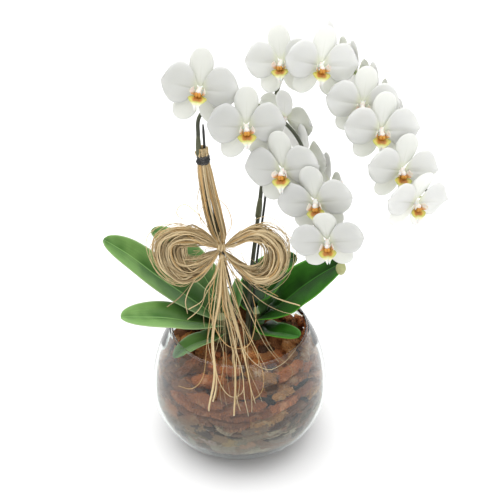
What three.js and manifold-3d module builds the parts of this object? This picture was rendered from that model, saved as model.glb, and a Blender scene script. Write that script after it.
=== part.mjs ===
// A moth orchid with two arching flower spikes, standing in bark in a round glass bowl.
// Units are millimetres and +Z is up. The origin is the middle of the bowl's flat base.
// The blooms face -Y, towards the viewer, and +X is the viewer's right.

import * as THREE from 'three';
import { mergeVertices } from 'three/addons/utils/BufferGeometryUtils.js';
import Module from 'manifold-3d';

const wasm = await Module();
wasm.setup();

// Driving dimensions

const GAP = 0.3;

const BOWL = {
  radius: 110,
  equator: 72,
  baseRadius: 62,
  rimRadius: 83,
  height: 163,
  wall: 3.2,
  floor: 13,
  segments: 30,
};

const BARK = { top: 118, coreInset: 9, glassGap: 0.4, glassChips: 23, topChips: 13, chip: [52, 31, 12] };

// The turn from one chip to the next, in degrees
const GOLDEN_ANGLE = 137.508;

const CROWN = {
  radius: 8.5,
  foot: 88,
  top: 150,
  roots: 4,
  rootTurn: 52,
  rootRadius: 3.2,
  rootReach: 58,
  rootDepth: 46,
  hole: 0.45,
  dip: 19,
};

const SPIKE = { footRadius: 2.9, tipRadius: 1.7, pedicelRadius: 1.3, sides: 5 };

const STAKE = { radius: 1.5, sides: 6 };

const BLOOM = {
  petalLength: 40,
  petalHalfUp: 25,
  petalHalfDown: 19,
  petalLift: 7.2,
  petalFoot: 2.1,
  petalFront: 1.1,
  sepalFoot: 2.35,
  sepalBack: 1.6,
  sepalLength: 39,
  sepalHalf: 13,
  lateralLength: 37,
  lateralHalf: 12.5,
  lateralSpread: 34.35,
  tepal: 0.8,
  hubBack: 2.7,
  hubRadius: 4.2,
  columnRadius: 3,
  columnLength: 9.7,
  lipSeat: 3.75,
  lip: 0.8,
  stalkLead: 14,
};

const BUD = { radius: 6, stretch: 1.35, out: 2, below: 8.7 };

const LEAF = { thickness: 2.2, footHalf: 6, footClear: 0.5, footUp: 11, footOut: 4, fold: 0.32 };

const RAFFIA = {
  sleeveRibs: 7,
  sleeveClearance: 0.4,
  ribDepth: 0.84,
  strand: 2.7,
  tail: 1.3,
  tieAt: 0.2,
  tieWall: 1.6,
  tieHeight: 9,
};

const COLOURS = {
  glass: 0xdfe8e6,
  bark: 0x8a5a3c,
  crown: 0x6f7f4a,
  leafLeft: 0x4f8a45,
  leafRight: 0x2f6b2a,
  stem: 0x4d5238,
  bud: 0x8f9a5a,
  stake: 0x2b2d2a,
  tepals: 0xeceee8,
  lip: 0xd0a21f,
  raffia: 0xc9a878,
  tie: 0x3c3a36,
};

// Chips heaped up against the glass at the back and on the right
const HEAPED_CHIPS = [
  [-16, 74, 134], [-66, 50, 126], [-44, 70, 126], [82, 22, 134], [66, 58, 134], [88, -16, 126],
];

// Where the blooms hang: middle of the bloom, yaw to the right, pitch upwards, roll and size

const LEFT_BLOOMS = [
  { at: [-40, -10, 473], yaw: -6, pitch: 14, roll: -6, size: 1 },
  { at: [9, -27, 438], yaw: 4, pitch: 6, roll: 0, size: 1 },
  { at: [48, -44, 395], yaw: -18, pitch: 4, roll: 10, size: 1 },
  { at: [83, -60, 366], yaw: -10, pitch: -4, roll: 12, size: 0.98 },
  { at: [96, -76, 326], yaw: -6, pitch: -6, roll: 8, size: 0.96 },
];

const LEFT_BACK_BLOOMS = [
  { at: [52, 37, 420], yaw: 140, pitch: 12, roll: 12, size: 0.9 },
  { at: [78, 25, 381], yaw: 118, pitch: 10, roll: 2, size: 0.9 },
  { at: [103, 7, 354], yaw: 109, pitch: 5, roll: 4, size: 0.9 },
];

const RIGHT_BLOOMS = [
  { at: [47, 50, 480], yaw: -12, pitch: 8, roll: 8, size: 0.96 },
  { at: [90, 34, 483], yaw: 8, pitch: 6, roll: -10, size: 0.98 },
  { at: [136, 19, 444], yaw: -4, pitch: 2, roll: -4, size: 0.98 },
  { at: [156, 1, 421], yaw: 2, pitch: 2, roll: -4, size: 1 },
  { at: [180, -13, 380], yaw: 10, pitch: 0, roll: -8, size: 0.98 },
  { at: [196, -28, 348], yaw: 22, pitch: -6, roll: -10, size: 0.94 },
];

const RIGHT_BACK_BLOOMS = [
  { at: [114, 108, 470], yaw: 112, pitch: 12, roll: 0, size: 0.94 },
  { at: [137, 94, 452], yaw: 110, pitch: 10, roll: 8, size: 0.94 },
  { at: [161, 76, 429], yaw: 108, pitch: 6, roll: -8, size: 0.94 },
  { at: [186, 56, 396], yaw: 104, pitch: 3, roll: 5, size: 0.92 },
];

// The spikes, as points that their stems pass through

const LEFT_STEM = [
  [-12, 11, 96], [-13, 11, 137], [-18, 8, 202], [-20, 5, 246], [-26, 4, 289], [-35, 4, 332],
  [-43, 4, 383], [-44, 6, 414], [-43, 9, 432], [-34, 12, 443], [-14, 15, 450], [13, 13, 449],
  [40, 7, 437], [61, -2, 420], [75, -14, 397], [89, -27, 368], [102, -40, 336], [111, -49, 305],
  [113, -53, 286],
];

const RIGHT_STEM = [
  [7, 23, 96], [9, 24, 130], [12, 26, 179], [15, 28, 223], [20, 30, 271], [24, 33, 309],
  [29, 46, 352], [36, 62, 398], [45, 75, 440], [59, 80, 468], [80, 74, 482], [107, 61, 482],
  [137, 47, 463], [163, 32, 433], [183, 18, 396], [207, 10, 362], [215, 0, 338],
];

const LEFT_STAKE = [
  [0, 17, 98], [-8, 14, 190], [-17, 10, 247], [-22, 8, 289], [-31, 8, 333], [-36.5, 8.5, 380],
  [-38.5, 9, 425],
];

const RIGHT_STAKE = [[13, 28, 98], [17, 30, 177], [22, 33, 241], [30, 37, 308], [34, 42, 352]];

// Leaves: bearing of the foot on the crown, its height, the midrib's points, half width and roll

const LEFT_CROWN = [-24, 32];

const RIGHT_CROWN = [20, 45];

// Bearings of the first root of the left crown and of the right one
const FIRST_ROOTS = [104, 290];

const LEAVES = [
  {
    name: 'leaf_left_long', crown: LEFT_CROWN, bearing: 176, rise: 144, half: 24, roll: 34,
    rib: [[-62, 26, 182], [-98, 16, 220], [-132, 8, 258], [-158, 2, 282]],
  },
  {
    name: 'leaf_left_low', crown: LEFT_CROWN, bearing: 222, rise: 133, half: 23, roll: 16,
    rib: [[-60, -4, 168], [-88, -20, 185], [-114, -32, 195], [-138, -44, 204]],
  },
  {
    name: 'leaf_left_rear', crown: LEFT_CROWN, bearing: 98, rise: 136, half: 20, roll: 36,
    rib: [[-42, 68, 180], [-66, 70, 216], [-88, 64, 243], [-108, 56, 262]],
  },
  {
    name: 'leaf_left_front', crown: LEFT_CROWN, bearing: 254, rise: 120, half: 14, roll: 0,
    rib: [[-40, -4, 141], [-54, -16, 144], [-68, -26, 142], [-80, -34, 136]],
  },
  {
    name: 'leaf_left_young', crown: LEFT_CROWN, bearing: -8, rise: 140, half: 8, roll: 0,
    rib: [[-6, 34, 166], [-4, 38, 178], [-3, 43, 188], [-3, 48, 198]],
  },
  {
    name: 'leaf_right_long', crown: RIGHT_CROWN, bearing: -6, rise: 134, half: 28, roll: -40,
    rib: [[54, 28, 174], [78, 20, 204], [102, 14, 228], [124, 6, 248]],
  },
  {
    name: 'leaf_right_rear', crown: RIGHT_CROWN, bearing: 118, rise: 142, half: 19, roll: -34,
    rib: [[20, 82, 168], [38, 92, 182], [56, 98, 190], [74, 100, 196]],
  },
  {
    name: 'leaf_right_low', crown: RIGHT_CROWN, bearing: -49, rise: 121, half: 15, roll: -10,
    rib: [[38, 8, 144], [50, -8, 154], [62, -22, 162], [72, -34, 168]],
  },
  {
    name: 'leaf_right_young', crown: RIGHT_CROWN, bearing: -30, rise: 147, half: 10, roll: -40,
    rib: [[34, 30, 182], [42, 24, 198], [50, 20, 213], [58, 16, 226]],
  },
];

// The raffia: a sleeve round the left spike and its stake, a bow on it and the tails that hang from it

const SLEEVE = [
  { at: [-40, 6.5, 392], radius: 7.8 },
  { at: [-39, 6, 378], radius: 7.4 },
  { at: [-36, 5, 354], radius: 8.8 },
  { at: [-31, 4.5, 324], radius: 10.6 },
  { at: [-25.5, 4.5, 297], radius: 10 },
  { at: [-21.5, 5, 281], radius: 7.4 },
];

const KNOT = { at: [-20, -6.2, 276], radius: 6.5, hubRadius: 4, hubBelow: 11.6 };

const LOOPS = [
  { reach: [-99, -24, 284], lift: 38, drop: -34, depth: -8 },
  { reach: [-94, -16, 276], lift: 30, drop: -26, depth: 2 },
  { reach: [-90, -30, 290], lift: 32, drop: -40, depth: -14 },
  { reach: [-84, -20, 272], lift: 24, drop: -18, depth: -4 },
  { reach: [57, -24, 274], lift: 38, drop: -38, depth: -8 },
  { reach: [52, -16, 280], lift: 30, drop: -44, depth: 0 },
  { reach: [50, -30, 268], lift: 30, drop: -30, depth: -14 },
  { reach: [44, -22, 276], lift: 22, drop: -24, depth: -4 },
];

const TAILS = [
  [[-24, -28, 226], [-29, -54, 192], [-30, -94, 168], [-31, -112, 140], [-31, -114, 122]],
  [[-19, -30, 224], [-12, -58, 190], [-6, -94, 168], [-3, -113, 138], [-2, -115, 114]],
  [[-14, -28, 228], [0, -54, 192], [8, -92, 168], [12, -111, 140], [14, -114, 120]],
  [[-32, -26, 236], [-46, -36, 214], [-58, -40, 200]],
  [[-2, -24, 244], [22, -28, 220], [48, -34, 208], [72, -40, 203]],
];

// Solids and meshes

const radians = THREE.MathUtils.degToRad;

const vector = ([x, y, z]) => new THREE.Vector3(x, y, z);

const smooth = (points) => new THREE.CatmullRomCurve3(points.map(vector), false, 'centripetal');

function toSolid(geometry) {
  const bare = geometry.clone();
  bare.deleteAttribute('normal');
  bare.deleteAttribute('uv');
  const merged = mergeVertices(bare, 1e-4);
  const vertProperties = Float32Array.from(merged.attributes.position.array);
  const triVerts = Uint32Array.from(merged.index.array);
  return new wasm.Manifold(new wasm.Mesh({ numProp: 3, vertProperties, triVerts }));
}

function toGeometry(solid) {
  const mesh = solid.getMesh();
  const geometry = new THREE.BufferGeometry();
  geometry.setAttribute('position', new THREE.BufferAttribute(mesh.vertProperties, 3));
  geometry.setIndex(new THREE.BufferAttribute(mesh.triVerts, 1));
  return geometry;
}

const fuse = (geometries) => geometries.map(toSolid).reduce((whole, piece) => whole.add(piece));

function named(name, geometry, colour, roughness, metalness = 0) {
  const material = new THREE.MeshStandardMaterial({ color: colour, roughness, metalness });
  const mesh = new THREE.Mesh(geometry, material);
  mesh.name = name;
  return mesh;
}

// A repeatable stream of numbers from 0 to 1
function seeded(seed) {
  let state = seed;
  return () => {
    state = (state * 1664525 + 1013904223) % 4294967296;
    return state / 4294967296;
  };
}

// A thin closed body of even thickness. surface(u, v) is its middle face: u runs from the foot at 0
// to the tip at 1, v from -1 to 1 across. Both faces are split into triangles alike.
function blade(surface, lengthSteps, widthSteps, thickness) {
  const positions = [];
  const indices = [];
  const step = 0.01;
  const columns = widthSteps + 1;
  const layer = (lengthSteps + 1) * columns;
  for (const half of [thickness / 2, -thickness / 2]) {
    for (let i = 0; i <= lengthSteps; i += 1) {
      for (let j = 0; j <= widthSteps; j += 1) {
        const u = i / lengthSteps;
        const v = (2 * j) / widthSteps - 1;
        const along = surface(Math.min(u + step, 1), v).sub(surface(Math.max(u - step, 0), v));
        const across = surface(u, v + step).sub(surface(u, v - step));
        const normal = across.cross(along).normalize();
        positions.push(...surface(u, v).addScaledVector(normal, -half).toArray());
      }
    }
  }
  const quad = (a, b, c, d) => indices.push(a, b, c, a, c, d);
  for (let i = 0; i < lengthSteps; i += 1) {
    for (let j = 0; j < widthSteps; j += 1) {
      const corner = i * columns + j;
      quad(corner, corner + columns, corner + columns + 1, corner + 1);
      const under = corner + layer;
      indices.push(under, under + columns + 1, under + columns, under, under + 1, under + columns + 1);
    }
  }
  for (let i = 0; i < lengthSteps; i += 1) {
    const first = i * columns;
    const last = first + widthSteps;
    quad(first, first + layer, first + columns + layer, first + columns);
    quad(last, last + columns, last + columns + layer, last + layer);
  }
  for (let j = 0; j < widthSteps; j += 1) {
    const tip = lengthSteps * columns + j;
    quad(j, j + 1, j + 1 + layer, j + layer);
    quad(tip, tip + layer, tip + 1 + layer, tip + 1);
  }
  const geometry = new THREE.BufferGeometry();
  geometry.setAttribute('position', new THREE.Float32BufferAttribute(positions, 3));
  geometry.setIndex(indices);
  return geometry;
}

// A round section with few sides, for tubes
function roundSection(radius, sides) {
  const corners = Array.from({ length: sides }, (_, i) => {
    const angle = (2 * Math.PI * i) / sides;
    return new THREE.Vector2(radius * Math.cos(angle), radius * Math.sin(angle));
  });
  return new THREE.Shape(corners);
}

// A section swept along a curve, which grows or shrinks by scaleAt(0..1)
function swept(curve, shape, steps, scaleAt) {
  const geometry = new THREE.ExtrudeGeometry(shape, { steps, extrudePath: curve, curveSegments: 1 });
  const stations = curve.getSpacedPoints(steps);
  const position = geometry.attributes.position;
  const point = new THREE.Vector3();
  for (let i = 0; i < position.count; i += 1) {
    point.fromBufferAttribute(position, i);
    const distances = stations.map((station) => station.distanceTo(point));
    const nearest = distances.indexOf(Math.min(...distances));
    const offset = point.sub(stations[nearest]).multiplyScalar(scaleAt(nearest / steps));
    const moved = offset.add(stations[nearest]);
    position.setXYZ(i, moved.x, moved.y, moved.z);
  }
  return geometry;
}

function tube(curve, radius, sides, steps, scaleAt = () => 1) {
  return swept(curve, roundSection(radius, sides), steps, scaleAt);
}

function rod(foot, head, radius, sides) {
  return tube(new THREE.LineCurve3(vector(foot), vector(head)), radius, sides, 1);
}

// A body turned about Z from a profile of [radius, height] pairs
function turned(profile, segments) {
  const points = profile.map(([radius, height]) => new THREE.Vector2(radius, height));
  const geometry = new THREE.LatheGeometry(points, segments);
  geometry.rotateX(Math.PI / 2);
  return geometry;
}

// The glass bowl

function ellipseRadius(z) {
  const below = z < BOWL.equator;
  const end = below ? BOWL.baseRadius : BOWL.rimRadius;
  const reach = below ? BOWL.equator : BOWL.height - BOWL.equator;
  const semi = reach / Math.sqrt(1 - (end / BOWL.radius) ** 2);
  return BOWL.radius * Math.sqrt(1 - ((z - BOWL.equator) / semi) ** 2);
}

// The hollow's outline from the middle of its floor up the wall, moved inwards by inset
function insideProfile(inset, levels) {
  const floor = BOWL.floor + inset;
  const wall = levels.map((level) => [ellipseRadius(level) - BOWL.wall - inset, level]);
  return [[0, floor], [BOWL.baseRadius - inset, floor], ...wall];
}

const OUTSIDE_LEVELS = [6, 22, 46, 72, 98, 122, 144];
const INSIDE_LEVELS = [24, 46, 72, 98, 122, 144];

function bowl() {
  const outside = OUTSIDE_LEVELS.map((level) => [ellipseRadius(level), level]);
  const lip = BOWL.rimRadius - BOWL.wall / 2;
  const profile = [
    [0, 0], [BOWL.baseRadius - 3, 0], ...outside,
    [BOWL.rimRadius, BOWL.height - 1.4], [lip + 0.7, BOWL.height], [lip - 0.7, BOWL.height],
    [BOWL.rimRadius - BOWL.wall, BOWL.height - 1.4],
    ...insideProfile(0, INSIDE_LEVELS).reverse(),
  ];
  return turned(profile, BOWL.segments);
}

// The crowns: a short stem with roots that run down into the bark

function crown([x, y], firstRoot, extra) {
  const random = seeded(firstRoot);
  const stub = rod([x, y, CROWN.foot], [x, y, CROWN.top], CROWN.radius + extra, 8);
  const roots = Array.from({ length: CROWN.roots }, (_, i) => {
    const angle = radians(firstRoot + CROWN.rootTurn * i);
    const reach = CROWN.rootReach * (0.75 + 0.25 * random());
    const toward = [Math.cos(angle), Math.sin(angle)];
    const path = smooth([
      [x, y, CROWN.foot + 10],
      [x + toward[0] * reach * 0.4, y + toward[1] * reach * 0.4, CROWN.foot - 4],
      [x + toward[0] * reach * 0.75, y + toward[1] * reach * 0.75, CROWN.foot - 24 - 10 * random()],
      [x + toward[0] * reach * 0.85, y + toward[1] * reach * 0.85, CROWN.rootDepth - 8 * random()],
    ]);
    return tube(path, CROWN.rootRadius + extra, 4, 3);
  });
  return fuse([stub, ...roots]);
}

// The dip in the bark round a crown, for the feet of its leaves
function clearing([x, y]) {
  return toSolid(rod([x, y, BARK.top - 2], [x, y, BOWL.height], CROWN.dip, 10));
}

// The bark: a bed of chips pressed against the glass, with plain holes for what stands in it

function chip(random, size) {
  const [length, width, height] = size.map((side) => side * (0.6 + 0.8 * random()));
  const geometry = new THREE.BoxGeometry(length, width, height);
  geometry.deleteAttribute('normal');
  geometry.deleteAttribute('uv');
  const merged = mergeVertices(geometry, 1e-4);
  const position = merged.attributes.position;
  for (let i = 0; i < position.count; i += 1) {
    const x = position.getX(i) * (0.72 + 0.28 * random());
    const y = position.getY(i) * (0.7 + 0.3 * random());
    position.setXYZ(i, x, y, position.getZ(i));
  }
  return merged;
}

function laidChip(random, at, tilt, lean = 0) {
  const geometry = chip(random, BARK.chip);
  geometry.rotateX(radians(tilt * (2 * random() - 1)));
  geometry.rotateY(radians(tilt * (2 * random() - 1) + lean));
  geometry.rotateZ(2 * Math.PI * random());
  geometry.translate(...at);
  return geometry;
}

function bark(holes) {
  const random = seeded(7);
  const shoulder = BARK.top - 10;
  const core = insideProfile(BARK.coreInset, [34, 72, shoulder]);
  const pieces = [turned([...core, [0, shoulder]], 12)];
  for (let i = 0; i < BARK.glassChips; i += 1) {
    const angle = radians(GOLDEN_ANGLE * i);
    const height = BOWL.floor + 10 + (BARK.top - BOWL.floor - 14) * ((i + 0.5) / BARK.glassChips);
    const radius = ellipseRadius(height) - BOWL.wall - 7 - 4 * random();
    pieces.push(laidChip(random, [radius * Math.cos(angle), radius * Math.sin(angle), height], 24));
  }
  for (let i = 0; i < BARK.topChips; i += 1) {
    const angle = radians(GOLDEN_ANGLE * i + 40);
    const radius = 84 * Math.sqrt((i + 0.6) / BARK.topChips);
    const at = [radius * Math.cos(angle), radius * Math.sin(angle), BARK.top - 6 + 6 * random()];
    pieces.push(laidChip(random, at, 22));
  }
  for (const at of HEAPED_CHIPS) {
    pieces.push(laidChip(random, at, 16, 50));
  }
  const wall = insideProfile(BARK.glassGap, [24, 72, 122, 144]);
  const rim = BOWL.height - 6;
  const room = [...wall, [BOWL.rimRadius - BOWL.wall - BARK.glassGap, rim], [0, rim]];
  const bed = fuse(pieces).intersect(toSolid(turned(room, BOWL.segments / 2)));
  const holed = holes.reduce((solid, hole) => solid.subtract(hole), bed);
  return holed.decompose().sort((a, b) => b.volume() - a.volume())[0];
}

// The flowers

const tepalOutline = (u, blunt) => Math.sin(Math.PI * (0.005 + 0.935 * u)) ** blunt;

// One of the two broad side petals; side is 1 for the right one and -1 for the left
function petal(side) {
  const lift = radians(BLOOM.petalLift);
  return (u, v) => {
    const half = v > 0 ? BLOOM.petalHalfUp : BLOOM.petalHalfDown;
    const width = half * v * tepalOutline(u, 0.7);
    const reach = BLOOM.petalFoot + BLOOM.petalLength * u * (1 - 0.06 * v * v);
    const bow = BLOOM.petalFront + 5 * Math.sin(Math.PI * 0.55 * u) - 3.4 * v * v * u - 3.2 * u * u;
    const wave = 0.9 * u * Math.sin(4.2 * v + 1.3 * side);
    const x = reach * Math.cos(lift) - width * Math.sin(lift);
    const y = reach * Math.sin(lift) + width * Math.cos(lift);
    return new THREE.Vector3(side * x, y, bow + wave);
  };
}

// A sepal that points at the given angle from straight up, clockwise
function sepal(angle, length, half, curl) {
  const turn = radians(angle);
  return (u, v) => {
    const across = half * v * tepalOutline(u, 0.75);
    const along = BLOOM.sepalFoot + length * u;
    const z = curl * u * u + 1.6 * u - 1.8 * v * v * Math.sin(Math.PI * u) - BLOOM.sepalBack;
    const x = along * Math.sin(turn) + across * Math.cos(turn);
    const y = along * Math.cos(turn) - across * Math.sin(turn);
    return new THREE.Vector3(x, y, z);
  };
}

function tepals(dorsalCurl) {
  const { hubBack, hubRadius, columnRadius, columnLength, tepal } = BLOOM;
  const column = turned([
    [0, -hubBack], [hubRadius, -0.6], [columnRadius, columnLength - 1.5], [0, columnLength],
  ], 6);
  const lateral = (angle) => blade(sepal(angle, BLOOM.lateralLength, BLOOM.lateralHalf, -3), 3, 1, tepal);
  return fuse([
    column,
    blade(petal(1), 4, 3, tepal),
    blade(petal(-1), 4, 3, tepal),
    blade(sepal(0, BLOOM.sepalLength, BLOOM.sepalHalf, dorsalCurl), 3, 2, tepal),
    lateral(180 - BLOOM.lateralSpread),
    lateral(180 + BLOOM.lateralSpread),
  ]);
}

// The lip: one thin sheet, a pointed middle lobe whose two side lobes stand up beside the column
function lip() {
  const foot = -(BLOOM.lipSeat + GAP + BLOOM.lip / 2);
  const lobes = (u, v) => {
    const half = 1.5 + 6.5 * Math.sin(Math.PI * Math.min(1.9 * u, 1) * 0.5) * (1 - u * 0.92);
    const wing = Math.sin(Math.PI * Math.min(u / 0.66, 1)) * v * v;
    const x = (half + 4.5 * wing) * v;
    const y = foot - 12.5 * u * u - 1.5 * u * Math.abs(v) + 8.5 * wing;
    return new THREE.Vector3(x, y, 3.4 + 11 * Math.sin(Math.PI * 0.62 * u) + 1.5 * wing);
  };
  return blade(lobes, 3, 4, BLOOM.lip);
}

function faced(object, { at, yaw, pitch, roll, size }) {
  object.position.set(...at);
  object.rotateZ(radians(yaw));
  object.rotateX(radians(90 - pitch));
  object.rotateZ(radians(roll));
  object.scale.setScalar(size);
  object.updateMatrixWorld(true);
  return object;
}

function bloom(name, place) {
  const group = faced(new THREE.Group(), place);
  const dorsalCurl = place.pitch < -4 ? 6 : -2;
  group.add(named(`${name}_tepals`, toGeometry(tepals(dorsalCurl)), COLOURS.tepals, 0.55));
  group.add(named(`${name}_lip`, lip(), COLOURS.lip, 0.5));
  return group;
}

// A spike: its stem with a short stalk to the back of each bloom

function stem(points, extra = 0, from = 0, to = 1) {
  const whole = smooth(points);
  const cut = smooth(
    whole.getSpacedPoints(120).slice(Math.round(120 * from), Math.round(120 * to) + 1)
      .map((point) => point.toArray()),
  );
  const steps = Math.max(3, Math.round(26 * (to - from)));
  const taper = (t) => {
    const radius = THREE.MathUtils.lerp(SPIKE.footRadius, SPIKE.tipRadius, from + (to - from) * t);
    return (radius + extra) / SPIKE.footRadius;
  };
  return tube(cut, SPIKE.footRadius, SPIKE.sides, steps, taper);
}

function stalk(points, place) {
  const holder = faced(new THREE.Group(), place);
  const end = holder.localToWorld(new THREE.Vector3(0, 0, -BLOOM.hubBack - GAP - 0.1));
  const behind = holder.localToWorld(new THREE.Vector3(0, 0, -BLOOM.hubBack - BLOOM.stalkLead));
  const candidates = smooth(points).getSpacedPoints(60).slice(20);
  const distances = candidates.map((point) => point.distanceTo(end));
  const start = candidates[distances.indexOf(Math.min(...distances))];
  const nearStart = start.clone().lerp(behind, 0.45);
  const path = new THREE.CubicBezierCurve3(start, nearStart, behind, end);
  return tube(path, SPIKE.pedicelRadius, 4, 3);
}

function stake(points, extra = 0) {
  return tube(smooth(points), STAKE.radius + extra, STAKE.sides, 6);
}

function spike(points, places) {
  return fuse([stem(points), ...places.map((place) => stalk(points, place))]);
}

// The leaves

function leafSurface({ crown: [x, y], bearing, rise, rib, half, roll }) {
  const away = new THREE.Vector3(Math.cos(radians(bearing)), Math.sin(radians(bearing)), 0);
  const clear = CROWN.radius + GAP + LEAF.thickness / 2 + LEAF.footClear;
  const foot = new THREE.Vector3(x, y, rise).addScaledVector(away, clear);
  const low = foot.clone().addScaledVector(away, LEAF.footOut).add(new THREE.Vector3(0, 0, LEAF.footUp));
  const path = new THREE.CatmullRomCurve3([foot, low, ...rib.map(vector)], false, 'centripetal');
  const up = new THREE.Vector3(0, 0, 1);
  return (u, v) => {
    const at = path.getPoint(u);
    const along = path.getTangent(u);
    const flat = along.clone().cross(up).normalize();
    const normal = flat.clone().cross(along).normalize();
    const turn = radians(roll) * Math.min(1, 2 * u);
    const across = flat.clone().multiplyScalar(Math.cos(turn)).addScaledVector(normal, Math.sin(turn));
    const over = normal.clone().multiplyScalar(Math.cos(turn)).addScaledVector(flat, -Math.sin(turn));
    const width = LEAF.footHalf + (half - LEAF.footHalf) * Math.sin(Math.PI * Math.min(u * 1.3, 0.5));
    const tipward = u > 0.5 ? Math.sqrt(1 - ((u - 0.5) / 0.51) ** 2) : 1;
    const reach = width * tipward * v;
    const fold = LEAF.fold * Math.abs(reach) * (1.5 - u);
    return at.addScaledVector(across, reach).addScaledVector(over, fold);
  };
}

// The raffia

function sleeve(holes) {
  const path = smooth(SLEEVE.map((station) => station.at));
  const ribs = 2 * RAFFIA.sleeveRibs;
  const corners = Array.from({ length: ribs }, (_, i) => {
    const angle = (2 * Math.PI * i) / ribs;
    const radius = i % 2 ? RAFFIA.ribDepth : 1;
    return new THREE.Vector2(radius * Math.cos(angle), radius * Math.sin(angle));
  });
  const radiusAt = (t) => {
    const place = t * (SLEEVE.length - 1);
    const before = Math.min(Math.floor(place), SLEEVE.length - 2);
    return THREE.MathUtils.lerp(SLEEVE[before].radius, SLEEVE[before + 1].radius, place - before);
  };
  const geometry = swept(path, new THREE.Shape(corners), 8, radiusAt);
  return holes.reduce((solid, hole) => solid.subtract(hole), toSolid(geometry));
}

function tie() {
  const path = smooth(SLEEVE.map((station) => station.at));
  const inner = SLEEVE[1].radius + 3 * GAP;
  const outer = inner + RAFFIA.tieWall;
  const half = RAFFIA.tieHeight / 2;
  const ring = turned([
    [inner, -half], [outer - 0.6, -half], [outer, 0], [outer - 0.6, half], [inner, half], [inner, -half],
  ], 12);
  const mesh = named('raffia_tie', ring, COLOURS.tie, 0.7);
  const at = path.getPoint(RAFFIA.tieAt);
  mesh.position.copy(at);
  const along = path.getTangent(RAFFIA.tieAt).negate();
  mesh.quaternion.setFromUnitVectors(new THREE.Vector3(0, 0, 1), along);
  return mesh;
}

function bow() {
  const knot = new THREE.SphereGeometry(KNOT.radius, 8, 6);
  knot.scale(1.2, 0.75, 1.1);
  knot.translate(...KNOT.at);
  const [x, y, z] = KNOT.at;
  const loops = LOOPS.map(({ reach, lift, drop, depth }) => {
    const along = (share) => THREE.MathUtils.lerp(x, reach[0], share);
    return smooth([
      [along(0.03), y, z],
      [along(0.3), y + depth, z + lift * 0.62],
      [along(0.66), reach[1] + 3, z + lift],
      [along(0.93), reach[1], (z + lift + reach[2]) / 2 + 4],
      reach,
      [along(0.9), reach[1] - 3, (z + drop + reach[2]) / 2 - 3],
      [along(0.6), reach[1] - 2, z + drop],
      [along(0.28), y + depth - 2, z + drop * 0.6],
      [along(0.03), y - 1, z - 3],
    ]);
  });
  return fuse([knot, ...loops.map((path) => tube(path, RAFFIA.strand, 4, 10))]);
}

function tails() {
  const [x, y, z] = KNOT.at;
  const start = [x, y - 2, z - KNOT.hubBelow];
  const hub = new THREE.SphereGeometry(KNOT.hubRadius, 6, 4);
  hub.translate(...start);
  const paths = TAILS.map((points) => smooth([start, ...points]));
  return fuse([hub, ...paths.map((path) => tube(path, RAFFIA.tail, 4, 8))]);
}

// The whole object

const group = new THREE.Group();
const add = (name, solid, colour, roughness) => {
  group.add(named(name, toGeometry(solid), colour, roughness));
};

group.add(named('glass_bowl', bowl(), COLOURS.glass, 0.05));

// Shares of the left stem's length that stand in the bark and that run through the sleeve
const IN_BARK = 0.18;
const IN_SLEEVE = [0.1, 0.62];

const clearance = CROWN.hole;
const holes = [
  crown(LEFT_CROWN, FIRST_ROOTS[0], clearance),
  crown(RIGHT_CROWN, FIRST_ROOTS[1], clearance),
  clearing(LEFT_CROWN),
  clearing(RIGHT_CROWN),
  toSolid(stem(LEFT_STEM, clearance, 0, IN_BARK)),
  toSolid(stem(RIGHT_STEM, clearance, 0, IN_BARK)),
  toSolid(stake(LEFT_STAKE, clearance)),
  toSolid(stake(RIGHT_STAKE, clearance)),
];
add('bark_bed', bark(holes), COLOURS.bark, 0.85);
add('crown_left', crown(LEFT_CROWN, FIRST_ROOTS[0], 0), COLOURS.crown, 0.6);
add('crown_right', crown(RIGHT_CROWN, FIRST_ROOTS[1], 0), COLOURS.crown, 0.6);

for (const leaf of LEAVES) {
  const colour = leaf.crown === LEFT_CROWN ? COLOURS.leafLeft : COLOURS.leafRight;
  group.add(named(leaf.name, blade(leafSurface(leaf), 8, 2, LEAF.thickness), colour, 0.4));
}

add('spike_left', spike(LEFT_STEM, [...LEFT_BLOOMS, ...LEFT_BACK_BLOOMS]), COLOURS.stem, 0.5);
add('spike_right', spike(RIGHT_STEM, [...RIGHT_BLOOMS, ...RIGHT_BACK_BLOOMS]), COLOURS.stem, 0.5);
group.add(named('stake_left', stake(LEFT_STAKE), COLOURS.stake, 0.6));
group.add(named('stake_right', stake(RIGHT_STAKE), COLOURS.stake, 0.6));

LEFT_BLOOMS.forEach((place, i) => group.add(bloom(`bloom_left_${i + 1}`, place)));
LEFT_BACK_BLOOMS.forEach((place, i) => group.add(bloom(`bloom_left_back_${i + 1}`, place)));
RIGHT_BLOOMS.forEach((place, i) => group.add(bloom(`bloom_right_${i + 1}`, place)));
RIGHT_BACK_BLOOMS.forEach((place, i) => group.add(bloom(`bloom_right_back_${i + 1}`, place)));

const budAt = LEFT_STEM[LEFT_STEM.length - 1];
const bud = new THREE.SphereGeometry(BUD.radius, 8, 6);
bud.scale(1, 1, BUD.stretch);
bud.translate(budAt[0] + BUD.out, budAt[1], budAt[2] - BUD.below);
group.add(named('bud_left', bud, COLOURS.bud, 0.5));

const wrapped = [
  toSolid(stem(LEFT_STEM, RAFFIA.sleeveClearance, ...IN_SLEEVE)),
  toSolid(stake(LEFT_STAKE, RAFFIA.sleeveClearance)),
];
add('raffia_sleeve', sleeve(wrapped), COLOURS.raffia, 0.8);
group.add(tie());
add('raffia_bow', bow(), COLOURS.raffia, 0.8);
add('raffia_tails', tails(), COLOURS.raffia, 0.8);

export default group;
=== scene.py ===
"""A white moth orchid with a raffia bow, standing in bark in a round glass bowl.

Shapes are worked out in millimetres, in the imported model's frame, and turned into metres
as each mesh is made. The places of blooms, stems, leaves and raffia repeat part.mjs.
"""

import math

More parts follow.
